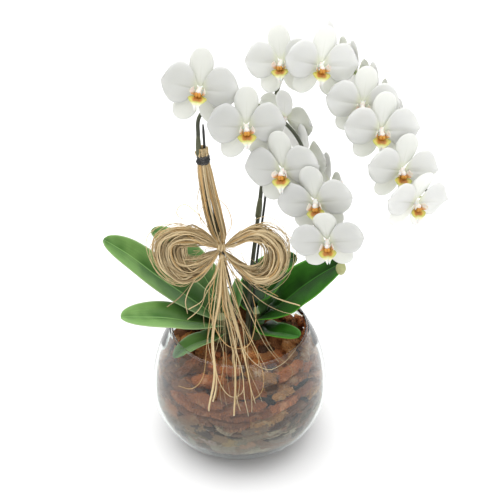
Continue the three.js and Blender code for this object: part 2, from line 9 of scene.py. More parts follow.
import bpy
import numpy as np
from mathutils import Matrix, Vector


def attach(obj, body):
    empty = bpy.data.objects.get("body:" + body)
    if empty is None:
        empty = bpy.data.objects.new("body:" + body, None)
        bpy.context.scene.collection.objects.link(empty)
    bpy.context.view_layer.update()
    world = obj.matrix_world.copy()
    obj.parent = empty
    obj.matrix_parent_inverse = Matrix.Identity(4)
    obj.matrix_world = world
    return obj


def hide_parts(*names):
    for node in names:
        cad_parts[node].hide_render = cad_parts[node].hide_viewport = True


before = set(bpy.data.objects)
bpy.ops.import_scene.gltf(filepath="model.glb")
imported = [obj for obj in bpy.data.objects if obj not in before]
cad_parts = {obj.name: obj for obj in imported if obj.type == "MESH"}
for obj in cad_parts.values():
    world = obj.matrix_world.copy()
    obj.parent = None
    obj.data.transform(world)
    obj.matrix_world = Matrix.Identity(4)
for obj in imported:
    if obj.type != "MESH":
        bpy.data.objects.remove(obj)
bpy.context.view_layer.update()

MM = 0.001
SEEDS = dict(bark=11, blooms=3, bow=21, sleeve=31, tails=41)

# The bowl

BOWL = dict(radius=110, equator=72, base=62, rim=83, height=163, floor=17, wall=3.2)
RIM_WALL = 1.7
BARK_TOP = 118

# The bark: counts of chips, and the height above which the front is left to the placed chips

WALL_CHIPS = 540
TOP_CHIPS = 170
FRONT_BAND = 84
GOLDEN_ANGLE = math.radians(137.508)
SHARP_ANGLE = math.radians(38)

CHIP_TINTS = {
    "red": (1.25, 0.95, 0.8), "tan": (1.5, 1.75, 1.7), "pink": (1.35, 1.6, 1.9),
    "dark": (0.7, 0.62, 0.6),
}

# Chips that show clearly: place, length, turn, tilt and lean in degrees, and tint
PLACED_CHIPS = [
    (0, -82, 123, 58, 6, 30, -6, "red"), (-38, -88, 113, 44, -16, 24, 4, "red"),
    (6, -96, 112, 50, 5, 18, -5, "red"), (-34, -64, 123, 42, 0, 34, 0, "red"),
    (26, -60, 128, 40, -22, 36, 8, "tan"), (52, -80, 118, 28, 24, 30, -8, "tan"),
    (-62, -46, 132, 32, 34, 50, -24, "red"), (-66, -66, 117, 42, -42, 66, 8, "dark"),
    (60, -54, 131, 36, 28, 40, -22, "red"), (82, -28, 141, 40, 72, 74, 6, "pink"),
    (28, -36, 126, 38, 10, 24, -8, "red"), (90, -8, 130, 36, 84, 60, -14, "tan"),
    (74, -46, 122, 34, 48, 34, -18, "red"), (-20, -46, 125, 40, -12, 20, 6, "red"),
    (2, 60, 146, 42, 4, 80, 84, "pink"), (-56, 44, 134, 40, 118, 40, 34, "pink"),
    (-44, 60, 132, 38, 140, 34, 20, "tan"), (86, 18, 138, 44, 80, 64, -30, "red"),
    (78, 38, 138, 40, 60, 40, 40, "red"), (92, 30, 126, 38, 110, 50, 10, "tan"),
    (-30, -93, 102, 50, -12, 16, 4, "red"), (16, -97, 101, 54, 7, 12, -3, "red"),
    (52, -86, 106, 38, 28, 22, -8, "red"), (-64, -74, 103, 44, -40, 22, 10, "red"),
    (-10, -99, 91, 50, -4, 12, 3, "red"), (34, -94, 90, 46, 18, 14, -5, "tan"),
    (76, -62, 108, 36, 46, 26, -8, "red"), (-50, -86, 91, 42, -26, 16, 5, "red"),
    (64, -78, 93, 38, 36, 20, 0, "dark"), (-80, -54, 94, 40, -52, 28, 6, "dark"),
    (88, -44, 94, 36, 60, 30, 4, "tan"), (-4, -100, 60, 34, 0, 84, 4, "tan"),
    (22, -96, 48, 40, 12, 80, -10, "tan"), (-36, -94, 72, 36, -20, 84, 30, "pink"),
    (18, -101, 82, 34, 10, 86, -14, "pink"), (48, -90, 70, 42, 28, 82, 12, "tan"),
]

# The blooms: middle, yaw to the right, pitch upwards, roll in degrees and size

BLOOMS = {
    "bloom_left": [
        ((-40, -10, 473), -6, 14, -6, 1),
        ((9, -27, 438), 4, 6, 0, 1),
        ((48, -44, 395), -18, 4, 10, 1),
        ((83, -60, 366), -10, -4, 12, 0.98),
        ((96, -76, 326), -6, -6, 8, 0.96),
    ],
    "bloom_left_back": [
        ((52, 37, 420), 140, 12, 12, 0.9),
        ((78, 25, 381), 118, 10, 2, 0.9),
        ((103, 7, 354), 109, 5, 4, 0.9),
    ],
    "bloom_right": [
        ((47, 50, 480), -12, 8, 8, 0.96),
        ((90, 34, 483), 8, 6, -10, 0.98),
        ((136, 19, 444), -4, 2, -4, 0.98),
        ((156, 1, 421), 2, 2, -4, 1),
        ((180, -13, 380), 10, 0, -8, 0.98),
        ((196, -28, 348), 22, -6, -10, 0.94),
    ],
    "bloom_right_back": [
        ((114, 108, 470), 112, 12, 0, 0.94),
        ((137, 94, 452), 110, 10, 8, 0.94),
        ((161, 76, 429), 108, 6, -8, 0.94),
        ((186, 56, 396), 104, 3, 5, 0.92),
    ],
}

PETAL = dict(length=40, half_up=25, half_down=19, lift=7.2, foot=2.1, front=1.1)
SEPAL = dict(length=42, half=13, foot=2.35, back=1.6)
LOWER_SEPAL = dict(length=37, half=12.5, spread=34.35)
COLUMN = dict(back=2.7, length=9.7)
LIP_FOOT = -4.45
THICKNESS = dict(petal=0.8, lip=0.7, lobe=0.6, leaf=2.2)
# The petals are painted darker than the sepals, which share their material: painted shade
PAINTED_PETAL_SHADE = (0.80, 0.806, 0.795)

# How bright the petals of each row are painted: painted light and shade for how the light falls on
# each row
PAINTED_ROW_LIGHT = {
    "bloom_left": 0.84, "bloom_left_back": 0.95, "bloom_right": 1.08, "bloom_right_back": 1.1,
}

# Stems and stakes, as points that they pass through

LEFT_STEM = [
    (-12, 11, 96), (-13, 11, 137), (-18, 8, 202), (-20, 5, 246), (-26, 4, 289), (-35, 4, 332),
    (-43, 4, 383), (-44, 6, 414), (-43, 9, 432), (-34, 12, 443), (-14, 15, 450), (13, 13, 449),
    (40, 7, 437), (61, -2, 420), (75, -14, 397), (89, -27, 368), (102, -40, 336), (111, -49, 305),
    (113, -53, 286),
]

RIGHT_STEM = [
    (7, 23, 96), (9, 24, 130), (12, 26, 179), (15, 28, 223), (20, 30, 271), (24, 33, 309),
    (29, 46, 352), (36, 62, 398), (45, 75, 440), (59, 80, 468), (80, 74, 482), (107, 61, 482),
    (137, 47, 463), (163, 32, 433), (183, 18, 396), (207, 10, 362), (215, 0, 338),
]

LEFT_STAKE = [
    (0, 17, 98), (-8, 14, 190), (-17, 10, 247), (-22, 8, 289), (-31, 8, 333), (-36.5, 8.5, 380),
    (-38.5, 9, 425),
]

RIGHT_STAKE = [(13, 28, 98), (17, 30, 177), (22, 33, 241), (30, 37, 308), (34, 42, 352)]

STEM_RADII = (2.9, 1.7)
STAKE_RADIUS = 1.5
PEDICEL_RADIUS = 1.3

# Leaves: bearing of the foot on the crown, its height, half width, roll and the midrib's points

CROWNS = {"left": (-24, 32), "right": (20, 45)}
CROWN_RADIUS = 8.5
LEAF_GAP = 1.9

LEAVES = {
    "leaf_left_long": (
        176, 144, 24, 34, [(-62, 26, 182), (-98, 16, 220), (-132, 8, 258), (-158, 2, 282)],
    ),
    "leaf_left_low": (
        222, 133, 23, 16, [(-60, -4, 168), (-88, -20, 185), (-114, -32, 195), (-138, -44, 204)],
    ),
    "leaf_left_rear": (
        98, 136, 20, 36, [(-42, 68, 180), (-66, 70, 216), (-88, 64, 243), (-108, 56, 262)],
    ),
    "leaf_left_front": (
        254, 120, 14, 0, [(-40, -4, 141), (-54, -16, 144), (-68, -26, 142), (-80, -34, 136)],
    ),
    "leaf_left_young": (
        -8, 140, 8, 0, [(-6, 34, 166), (-4, 38, 178), (-3, 43, 188), (-3, 48, 198)],
    ),
    "leaf_right_long": (
        -6, 134, 28, -40, [(54, 28, 174), (78, 20, 204), (102, 14, 228), (124, 6, 248)],
    ),
    "leaf_right_rear": (
        118, 142, 19, -34, [(20, 82, 168), (38, 92, 182), (56, 98, 190), (74, 100, 196)],
    ),
    "leaf_right_low": (
        -49, 121, 15, -10, [(38, 8, 144), (50, -8, 154), (62, -22, 162), (72, -34, 168)],
    ),
    "leaf_right_young": (
        -30, 147, 10, -40, [(34, 30, 182), (42, 24, 198), (50, 20, 213), (58, 16, 226)],
    ),
}

# The raffia: counts of strands, and the stations of the sleeve with their radii

STRANDS = dict(sleeve=46, cut=16, bow_hairs=12, windings=8, whiskers=30, mixed=9, hairs=18)

SLEEVE = [
    ((-40, 6.5, 392), 7.8), ((-39, 6, 378), 7.4), ((-36, 5, 354), 8.8), ((-31, 4.5, 324), 10.6),
    ((-25.5, 4.5, 297), 10), ((-21.5, 5, 281), 7.4),
]

KNOT = (-20, -6.2, 276)

LEFT_LOOPS = [
    ((-99, -24, 284), 38, -34, -8), ((-94, -16, 276), 30, -26, 2),
    ((-90, -30, 290), 32, -40, -14), ((-84, -20, 272), 24, -18, -4),
]

RIGHT_LOOPS = [
    ((57, -24, 274), 38, -38, -8), ((52, -16, 280), 30, -44, 0),
    ((50, -30, 268), 30, -30, -14), ((44, -22, 276), 22, -24, -4),
]

# The loops of each side, with how many strands they have, how far these draw in and how flat
BOW_SIDES = [(LEFT_LOOPS, 112, 0.44, 0.85), (RIGHT_LOOPS, 84, 0.32, 0.55)]

TAILS = [
    [(-24, -28, 226), (-29, -54, 192), (-30, -94, 168), (-31, -112, 140), (-31, -114, 122)],
    [(-19, -30, 224), (-12, -58, 190), (-6, -94, 168), (-3, -113, 138), (-2, -115, 114)],
    [(-14, -28, 228), (0, -54, 192), (8, -92, 168), (12, -111, 140), (14, -114, 120)],
    [(-32, -26, 236), (-46, -36, 214), (-58, -40, 200)],
    [(-2, -24, 244), (22, -28, 220), (48, -34, 208), (72, -40, 203)],
]

# Thin loops that have sprung loose from the sleeve
LOOSE_LOOPS = [
    [
        (-38, -2, 350), (-52, -6, 322), (-64, -12, 318), (-70, -14, 328), (-62, -12, 337),
        (-44, -10, 320), (-30, -6, 290),
    ],
    [(-42, -1, 360), (-47, -6, 335), (-44, -8, 318), (-33, -6, 300)],
    [(-30, -2, 344), (-14, -8, 332), (-8, -12, 312), (-14, -12, 296), (-20, -8, 285)],
    [(-34, -1, 340), (-44, -8, 322), (-40, -10, 306), (-28, -7, 292)],
]

# Single ends that show by themselves
LOOSE_ENDS = [
    [
        (-20, -10, 264), (-34, -30, 236), (-30, -52, 202), (-12, -66, 178), (10, -66, 178),
        (20, -40, 204), (16, -26, 222),
    ],
    [(-14, -10, 266), (6, -22, 250), (26, -28, 236), (46, -34, 226)],
    [(-16, -10, 264), (10, -40, 214), (30, -66, 182), (46, -82, 168)],
    [(-26, -12, 268), (-50, -26, 246), (-62, -36, 222), (-60, -40, 206)],
    [(-28, -12, 266), (-56, -26, 238), (-70, -34, 224), (-84, -38, 214)],
    [
        (-18, -10, 266), (-8, -48, 208), (12, -82, 174), (34, -92, 164), (52, -84, 168),
        (66, -70, 176),
    ],
    [(-26, -14, 260), (-36, -66, 192), (-42, -102, 158), (-54, -104, 146), (-70, -94, 142)],
    [
        (-22, -12, 262), (-30, -60, 196), (-22, -104, 156), (-8, -114, 142), (4, -116, 150),
        (6, -114, 160),
    ],
    [(-16, -12, 262), (8, -60, 196), (28, -96, 162), (26, -108, 144), (14, -114, 136)],
    [(-14, -10, 264), (18, -46, 208), (42, -78, 176), (62, -84, 158), (60, -90, 148)],
]

# Colours of fine fibres and of the cut ends above the tie
HAIR = (1.05, 1.02, 0.95)
CUT_END = (1.25, 1.22, 1.15)

TIE_PLACE = 0.2
TIE_LIFT = 6
TIE_RADIUS = 5.8


# Curves


def root_distance(a, b):
    return np.sqrt(np.linalg.norm(b - a, axis=1))[:, None]


def curve_at(points, places):
    """Points of a centripetal Catmull-Rom curve at places from 0 to 1."""
    p = np.array(points, float)
    ends = np.vstack([2 * p[0] - p[1], p, 2 * p[-1] - p[-2]])
    place = np.clip(places, 0, 1) * (len(p) - 1)
    span = np.minimum(place.astype(int), len(p) - 2)
    t = (place - span)[:, None]
    x0, x1, x2, x3 = (ends[span + k] for k in range(4))
    d0, d1, d2 = (root_distance(*pair) for pair in ((x0, x1), (x1, x2), (x2, x3)))
    t1 = ((x1 - x0) / d0 - (x2 - x0) / (d0 + d1) + (x2 - x1) / d1) * d1
    t2 = ((x2 - x1) / d1 - (x3 - x1) / (d1 + d2) + (x3 - x2) / d2) * d1
    square = -3 * x1 + 3 * x2 - 2 * t1 - t2
    cube = 2 * x1 - 2 * x2 + t1 + t2
    return x1 + t1 * t + square * t**2 + cube * t**3


def evenly(points, count):
    """Count points at even distances along the curve through points."""
    fine = curve_at(points, np.linspace(0, 1, 40 * len(points)))
    reach = np.concatenate([[0], np.cumsum(np.linalg.norm(np.diff(fine, axis=0), axis=1))])
    wanted = np.linspace(0, reach[-1], count)
    return np.stack([np.interp(wanted, reach, fine[:, k]) for k in range(3)], axis=1)


def bezier(a, b, c, d, count):
    """Count points of a cubic Bezier curve."""
    t = np.linspace(0, 1, count)[:, None]
    return (1 - t) ** 3 * a + 3 * (1 - t) ** 2 * t * b + 3 * (1 - t) * t**2 * c + t**3 * d


def normalised(vectors):
    return vectors / np.maximum(np.linalg.norm(vectors, axis=-1, keepdims=True), 1e-9)


def ramp(low, high, x):
    """0 below low, 1 above high, smooth between."""
    t = np.clip((x - low) / (high - low), 0, 1)
    return t * t * (3 - 2 * t)


# Meshes: a part is vertices in mm, faces, a UV and a tint for each vertex, and a material's index


def grid_faces(rows, columns, wrap=False):
    """The faces of a grid of vertices; wrap joins the last column to the first."""
    across = columns if wrap else columns - 1
    i, j = np.meshgrid(np.arange(rows - 1), np.arange(across), indexing="ij")
    right = (j + 1) % columns
    start = i * columns
    after = start + columns
    corners = [start + j, start + right, after + right, after + j]
    return np.stack(corners, axis=-1).reshape(-1, 4)


def slab(top, under, uv, tint=(1, 1, 1), slot=0):
    """A closed body between two grids of points."""
    rows, columns, _ = top.shape
    count = rows * columns
    upper = grid_faces(rows, columns)
    rim = np.concatenate([
        np.arange(columns),
        np.arange(1, rows) * columns + columns - 1,
        (rows - 1) * columns + np.arange(columns - 2, -1, -1),
        np.arange(rows - 2, 0, -1) * columns,
    ])
    after = np.roll(rim, -1)
    side = np.stack([rim, rim + count, after + count, after], axis=1)
    return dict(
        points=np.vstack([top.reshape(-1, 3), under.reshape(-1, 3)]),
        faces=np.vstack([upper[:, ::-1], upper + count, side[:, ::-1]]),
        uv=np.tile(uv.reshape(-1, 2), (2, 1)), tint=np.tile(tint, (2 * count, 1)),
        slot=slot, under=np.repeat([0, 1], count),
    )


def sheet(points, thickness, u, v, flip=False, edge=0.35, **look):
    """A closed thin sheet round middle points, thinner towards its edges; u and v are its UVs."""
    points = np.stack(np.broadcast_arrays(*points), axis=2)
    if flip:
        points = points[:, ::-1]
    normal = normalised(np.cross(np.gradient(points, axis=1), np.gradient(points, axis=0)))
    rows, columns, _ = points.shape
    across = np.abs(np.linspace(-1, 1, columns))[None, :, None]
    along = np.linspace(0, 1, rows)[:, None, None]
    half = 0.5 * thickness * (1 - (1 - edge) * np.maximum(across**6, along**12))
    return slab(points - normal * half, points + normal * half, np.stack([u, v], axis=2), **look)


def rings_along(path):
    """Two directions square to the path at each of its points, without twist."""
    tangent = normalised(np.gradient(path, axis=0))
    first = np.cross(tangent[0], (0.3, 1, 0.2))
    side = [first / np.linalg.norm(first)]
    for direction in tangent[1:]:
        carried = side[-1] - direction * np.dot(side[-1], direction)
        side.append(carried / np.linalg.norm(carried))
    side = np.array(side)
    return side, np.cross(tangent, side)


def tube(path, radii, sides=8, flat=1.0, turn=0.0, tint=(1, 1, 1), slot=0):
    """A tube along a path; flat squeezes its section, and turn twists it, in radians in all."""
    path = np.array(path, float)
    radii = np.broadcast_to(radii, len(path))
    first, second = rings_along(path)
    spin = np.linspace(0, turn, len(path))[:, None]
    wide = first * np.cos(spin) + second * np.sin(spin)
    thin = second * np.cos(spin) - first * np.sin(spin)
    angle = np.linspace(0, 2 * np.pi, sides, endpoint=False)
    cosine, sine = np.cos(angle)[:, None], np.sin(angle)[:, None]
    ring = wide[:, None] * cosine + flat * thin[:, None] * sine
    points = (path[:, None] + ring * radii[:, None, None]).reshape(-1, 3)
    faces = [tuple(face) for face in grid_faces(len(path), sides, wrap=True)]
    last = (len(path) - 1) * sides
    faces.append(tuple(range(sides - 1, -1, -1)))
    faces.append(tuple(range(last, last + sides)))
    reach = np.concatenate([[0], np.cumsum(np.linalg.norm(np.diff(path, axis=0), axis=1))])
    uv = np.stack([np.repeat(reach / 10, sides), np.tile(angle / (2 * np.pi), len(path))], axis=1)
    tints = np.tile(tint, (len(points), 1))
    return dict(points=points, faces=faces, uv=uv, tint=tints, slot=slot)


def turned(profile, segments, slot=0):
    """A closed body turned about Z from (radius, height) pairs that start and end on the axis."""
    inner = np.array(profile[1:-1], float)
    angle = np.linspace(0, 2 * np.pi, segments, endpoint=False)
    circle = np.stack([np.cos(angle), np.sin(angle)], axis=1)
    heights = np.broadcast_to(inner[:, None, 1:], (len(inner), segments, 1))
    rings = np.concatenate([inner[:, None, :1] * circle[None], heights], axis=2)
    points = np.vstack([rings.reshape(-1, 3), (0, 0, profile[0][1]), (0, 0, profile[-1][1])])
    faces = [tuple(face) for face in grid_faces(len(inner), segments, wrap=True)]
    start, end = len(points) - 2, len(points) - 1
    last = (len(inner) - 1) * segments
    for k in range(segments):
        after = (k + 1) % segments
        faces.append((start, after, k))
        faces.append((end, last + k, last + after))
    uv = np.zeros((len(points), 2))
    return dict(points=points, faces=faces, uv=uv, tint=np.ones((len(points), 3)), slot=slot)


def moved(part, place):
    """A part's points taken through a function."""
    return {**part, "points": place(part["points"])}


def lump(height, shoulder, radius, at, scale=(1, 1, 1), segments=10):
    """A round knob, from half its height, its shoulder's radius and height, and its radius."""
    wide, high = shoulder
    profile = [(0, -height), (wide, -high), (radius, 0), (wide, high), (0, height)]
    knob = turned(profile, segments)
    return {**knob, "points": knob["points"] * scale + at}


def rotation(axis, angle):
    """The matrix of a turn about axis 0, 1 or 2, in radians."""
    i, j = (axis + 1) % 3, (axis + 2) % 3
    turn = np.eye(3)
    turn[i, i] = turn[j, j] = math.cos(angle)
    turn[i, j], turn[j, i] = -math.sin(angle), math.sin(angle)
    return turn


def stacked(parts, key):
    return np.vstack([part[key] for part in parts])


def add(name, data):
    """A new object in the scene."""
    made = bpy.data.objects.new(name, data)
    bpy.context.scene.collection.objects.link(made)
    return made


def piece(name, parts, materials, node):
    """One object from parts, which rides on the root body and stands for a CAD node."""
    offset = 0
    faces, slots, under = [], [], []
    for part in parts:
        count = len(part["points"])
        faces += [tuple(int(k) + offset for k in face) for face in part["faces"]]
        slots += [part["slot"]] * len(part["faces"])
        under.append(part.get("under", np.zeros(count)))
        offset += count
    mesh = bpy.data.meshes.new(name)
    mesh.from_pydata((stacked(parts, "points") * MM).tolist(), [], faces)
    mesh.polygons.foreach_set("material_index", slots)
    mesh.polygons.foreach_set("use_smooth", [True] * len(faces))
    corner = np.zeros(len(mesh.loops), np.int32)
    mesh.loops.foreach_get("vertex_index", corner)
    uv = stacked(parts, "uv")[corner].astype(np.float32)
    mesh.uv_layers.new(name="UVMap").data.foreach_set("uv", uv.ravel())
    colour = np.hstack([stacked(parts, "tint"), np.ones((offset, 1))]).astype(np.float32)
    tints = mesh.color_attributes.new("tint", "FLOAT_COLOR", "POINT")
    tints.data.foreach_set("color", colour.ravel())
    side = mesh.attributes.new("under", "FLOAT", "POINT")
    side.data.foreach_set("value", np.concatenate(under).astype(np.float32))
    for material in materials:
        mesh.materials.append(material)
    mesh.validate()
    mesh.update()
    made = add(name, mesh)
    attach(made, "root")
    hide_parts(node)
    return made


# Materials


class Nodes:
    """A short way to write a material's nodes. Each method returns the new node's output."""

    def __init__(self, name, roughness, **constants):
        self.material = bpy.data.materials.new(name)
        self.material.use_nodes = True
        self.tree = self.material.node_tree
        self.shader = self.tree.nodes["Principled BSDF"]
        self.set("Roughness", roughness)
        for key, value in constants.items():
            self.set(key.replace("_", " "), value)

    def feed(self, socket, value):
        """Link a socket to another node's output, or set its own constant."""
        if isinstance(value, bpy.types.NodeSocket):
            self.tree.links.new(value, socket)
        else:
            socket.default_value = value

    def set(self, name, value):
        self.feed(self.shader.inputs[name], value)

    def node(self, kind, inputs=(), output=0, **settings):
        made = self.tree.nodes.new(kind)
        for key, value in settings.items():
            setattr(made, key, value)
        for key, value in dict(inputs).items():
            self.feed(made.inputs[key], value)
        return made.outputs[output]

    def place(self, stretch=(1, 1, 1), uv=False):
        source = self.node("ShaderNodeTexCoord", output="UV" if uv else "Object")
        return self.node("ShaderNodeMapping", {"Vector": source, "Scale": stretch})

    def noise(self, scale, stretch=(1, 1, 1), uv=False, detail=4, rough=0.6):
        at = self.place(stretch, uv)
        inputs = {"Vector": at, "Scale": scale, "Detail": detail, "Roughness": rough}
        return self.node("ShaderNodeTexNoise", inputs)

    def axis(self, name, uv=True):
        source = self.node("ShaderNodeTexCoord", output="UV" if uv else "Object")
        return self.node("ShaderNodeSeparateXYZ", {"Vector": source}, output=name)

    def attribute(self, name, output="Color"):
        return self.node("ShaderNodeAttribute", output=output, attribute_name=name)

    def math(self, operation, a, b=0.0):
        return self.node("ShaderNodeMath", {0: a, 1: b}, operation=operation)

    def between(self, value, low, high, to_low=0.0, to_high=1.0):
        """A smooth change from to_low to to_high as the value goes from low to high."""
        limits = {"From Min": low, "From Max": high, "To Min": to_low, "To Max": to_high}
        inputs = {"Value": value, **limits}
        return self.node("ShaderNodeMapRange", inputs, interpolation_type="SMOOTHSTEP")

    def mix(self, share, a, b, blend="MIX"):
        """Two colours mixed, each an output or a tuple."""
        a, b = ((*colour, 1) if isinstance(colour, tuple) else colour for colour in (a, b))
        inputs = {0: share, 6: a, 7: b}
        return self.node("ShaderNodeMix", inputs, 2, data_type="RGBA", blend_type=blend)

    def bump(self, height, strength, distance):
        inputs = {"Height": height, "Strength": strength, "Distance": distance}
        self.set("Normal", self.node("ShaderNodeBump", inputs))

    def tinted(self, colour):
        """The base colour, shaded by the tint of each vertex."""
        self.set("Base Color", self.mix(1.0, colour, self.attribute("tint"), "MULTIPLY"))


def plain_material(name, roughness, low, high, patches, grain, bump, **constants):
    """Two colours in patches and a fine grain, both given as settings of a noise."""
    m = Nodes(name, roughness, **constants)
    m.set("Base Color", m.mix(m.noise(**patches), low, high))
    m.bump(m.noise(**grain), *bump)
    return m.material


def petal_material():
    m = Nodes("petal", 0.5, Subsurface_Weight=0.3, Subsurface_Scale=0.006, IOR=1.4)
    m.set("Subsurface Radius", (1.0, 1.0, 0.8))
    along = m.axis("X")
    aside = m.math("ABSOLUTE", m.axis("Y"))
    white = m.mix(m.noise(26, detail=2), (0.66, 0.665, 0.65), (0.76, 0.76, 0.745))
    # Lighter towards the tip and the edges: painted light
    edge = m.math("MAXIMUM", m.between(along, 0.7, 1.0), m.between(aside, 0.6, 1.0))
    white = m.mix(m.math("MULTIPLY", edge, 0.6), white, (0.82, 0.82, 0.80))
    foot = m.between(along, 0.0, 0.26, 0.7, 0.0)
    tinted = m.mix(foot, white, (0.74, 0.78, 0.50))
    # Darker along the middle crease from the foot: painted shade in the crease
    rib = m.between(aside, 0.0, 0.09, 0.5, 0.0)
    rib = m.math("MULTIPLY", rib, m.between(along, 0.15, 0.8, 1.0, 0.0))
    tinted = m.mix(rib, tinted, (0.55, 0.56, 0.50))
    behind = m.math("MULTIPLY", m.attribute("under", "Fac"), 0.35)
    tinted = m.mix(behind, tinted, (0.70, 0.73, 0.60))
    m.tinted(tinted)
    veins = m.noise(5, stretch=(0.6, 9, 1), uv=True, detail=5)
    grain = m.noise(900, detail=2)
    m.bump(m.mix(0.25, veins, grain), 0.35, 0.0006)
    return m.material


def column_material():
    m = Nodes("column", 0.45, Subsurface_Weight=0.25, Subsurface_Scale=0.003)
    blush = m.between(m.noise(420, detail=3), 0.48, 0.7)
    m.set("Base Color", m.mix(blush, (0.80, 0.78, 0.73), (0.74, 0.62, 0.56)))
    m.bump(m.noise(700), 0.3, 0.0004)
    return m.material


def lip_material():
    """Orange-brown in the middle, yellow to green at the corners and white at the tip."""
    m = Nodes("lip", 0.4, Subsurface_Weight=0.15, Subsurface_Scale=0.003)
    along = m.axis("X")
    across = m.math("ABSOLUTE", m.axis("Y"))
    streaks = m.noise(7, stretch=(1.2, 5, 1), uv=True, detail=5, rough=0.7)
    orange = m.mix(m.between(streaks, 0.38, 0.64), (0.58, 0.26, 0.03), (0.26, 0.08, 0.02))
    yellow = m.mix(m.between(across, 0.5, 0.95), (0.62, 0.51, 0.09), (0.47, 0.50, 0.12))
    corner = m.between(m.math("ADD", across, m.math("MULTIPLY", streaks, 0.35)), 0.56, 0.86)
    middle = m.mix(corner, orange, yellow)
    green = m.mix(m.between(along, 0.44, 0.56), middle, (0.52, 0.54, 0.14))
    pale = m.mix(m.between(along, 0.52, 0.64), green, (0.76, 0.75, 0.46))
    tip = m.mix(m.between(along, 0.62, 0.76), pale, (0.80, 0.80, 0.76))
    m.set("Base Color", tip)
    m.bump(streaks, 0.4, 0.0006)
    return m.material


def lobe_material():
    """The lip's side lobes: white with a pink flush and orange streaks near the foot."""
    m = Nodes("lip_lobe", 0.45, Subsurface_Weight=0.2, Subsurface_Scale=0.003)
    along = m.axis("X")
    streaks = m.noise(8, stretch=(1, 6, 1), uv=True, detail=4)
    foot = m.mix(m.between(streaks, 0.4, 0.6), (0.72, 0.46, 0.12), (0.45, 0.15, 0.05))
    far = m.mix(m.between(streaks, 0.5, 0.68), (0.80, 0.79, 0.73), (0.70, 0.44, 0.22))
    m.set("Base Color", m.mix(m.between(along, 0.25, 0.6), foot, far))
    m.bump(streaks, 0.3, 0.0004)
    return m.material


def leaf_material(name, deep, light, edge, roughness, gloss):
    """A leaf: dark near its foot as painted shade, lighter along its rib, lighter at its edge as
    painted light, and dull green underneath.
    """
    m = Nodes(
        name, roughness, Coat_Weight=0.3 * gloss, Coat_Roughness=0.25, IOR=1.4,
        Specular_IOR_Level=gloss,
    )
    along = m.axis("X")
    across = m.math("ABSOLUTE", m.axis("Y"))
    fibres = m.noise(6, stretch=(0.5, 26, 1), uv=True, detail=4)
    blotch = m.noise(14, detail=3)
    # Patches of random tone that lean lighter towards the edges, partly painted light
    patches = m.math("ADD", blotch, m.math("MULTIPLY", across, 0.25))
    base = m.mix(m.between(patches, 0.42, 0.8), deep, light)
    base = m.mix(m.between(fibres, 0.4, 0.62, 0.0, 0.4), base, tuple(0.78 * c for c in deep))
    # Darker towards the foot: painted shade where the leaves sit deep in the plant
    base = m.mix(m.between(along, 0.15, 0.7, 0.9, 0.0), base, tuple(0.4 * c for c in deep))
    rib = tuple(min(1.0, 1.35 * c + 0.02) for c in light)
    base = m.mix(m.between(across, 0.0, 0.055, 0.75, 0.0), base, rib)
    # The pale edge colour is painted light: a backlit sheen along the rim
    base = m.mix(m.between(across, 0.9, 1.0, 0.0, 0.85), base, edge)
    base = m.mix(m.between(along, 0.0, 0.14, 0.5, 0.0), base, (0.22, 0.26, 0.10))
    behind = m.between(m.attribute("under", "Fac"), 0.4, 0.6, 0.0, 0.6)
    m.set("Base Color", m.mix(behind, base, (0.10, 0.21, 0.07)))
    m.set("Roughness", m.between(blotch, 0.3, 0.7, roughness - 0.06, roughness + 0.1))
    m.bump(m.mix(0.4, fibres, m.noise(260, detail=3)), 0.4, 0.0006)
    return m.material


def stem_material():
    m = Nodes("stem", 0.5)
    shade = m.mix(m.noise(60, stretch=(1, 1, 0.2)), (0.022, 0.026, 0.016), (0.070, 0.078, 0.042))
    height = m.axis("Z", uv=False)
    young = m.between(height, 0.425, 0.475, 0.0, 0.8)
    m.tinted(m.mix(young, shade, (0.22, 0.27, 0.10)))
    m.bump(m.noise(500, stretch=(1, 1, 0.3)), 0.4, 0.0005)
    return m.material


def pedicel_material():
    return plain_material(
        "pedicel", 0.5, (0.42, 0.47, 0.20), (0.56, 0.60, 0.34),
        dict(scale=90), dict(scale=600), (0.3, 0.0004),
    )


def stake_material():
    return plain_material(
        "stake", 0.55, (0.012, 0.013, 0.012), (0.045, 0.047, 0.043),
        dict(scale=120, stretch=(1, 1, 0.1)), dict(scale=400, stretch=(1, 1, 0.15)), (0.4, 0.0004),
    )


def bud_material():
    return plain_material(
        "bud", 0.45, (0.26, 0.29, 0.10), (0.48, 0.48, 0.24),
        dict(scale=160, detail=3), dict(scale=400), (0.4, 0.0005),
        Subsurface_Weight=0.1, Subsurface_Scale=0.003,
    )


def crown_material():
    return plain_material(
        "crown", 0.55, (0.10, 0.14, 0.05), (0.28, 0.32, 0.15),
        dict(scale=80, stretch=(1, 1, 0.3)), dict(scale=200, stretch=(1, 1, 0.2)), (0.5, 0.001),
    )


def bark_material():
    """Red-brown chips with fibres along them, greyer where they lie deep in the bowl: a painted
    reflection of the glass's grey veil.
    """
    m = Nodes("bark", 0.85)
    fibres = m.noise(3.2, stretch=(1, 9, 1), uv=True, detail=8, rough=0.7)
    blotch = m.noise(70, detail=4)
    red = m.mix(m.between(fibres, 0.34, 0.66), (0.07, 0.018, 0.005), (0.46, 0.175, 0.05))
    red = m.mix(m.between(blotch, 0.52, 0.75, 0.0, 0.75), red, (0.46, 0.29, 0.17))
    red = m.mix(m.between(blotch, 0.2, 0.42, 0.7, 0.0), red, (0.05, 0.022, 0.012))
    # Greyer low in the bowl: painted reflection of the white room on the glass, laid over the chips
    painted_veil = m.mix(m.between(fibres, 0.3, 0.7), (0.10, 0.085, 0.07), (0.36, 0.31, 0.25))
    height = m.axis("Z", uv=False)
    wavy = m.math("ADD", height, m.math("MULTIPLY", m.noise(22, detail=2), 0.03))
    deep = m.between(wavy, 0.085, 0.115, 0.7, 0.0)
    m.tinted(m.mix(deep, red, painted_veil))
    m.bump(m.mix(0.5, fibres, m.noise(350, detail=6)), 0.9, 0.0016)
    return m.material


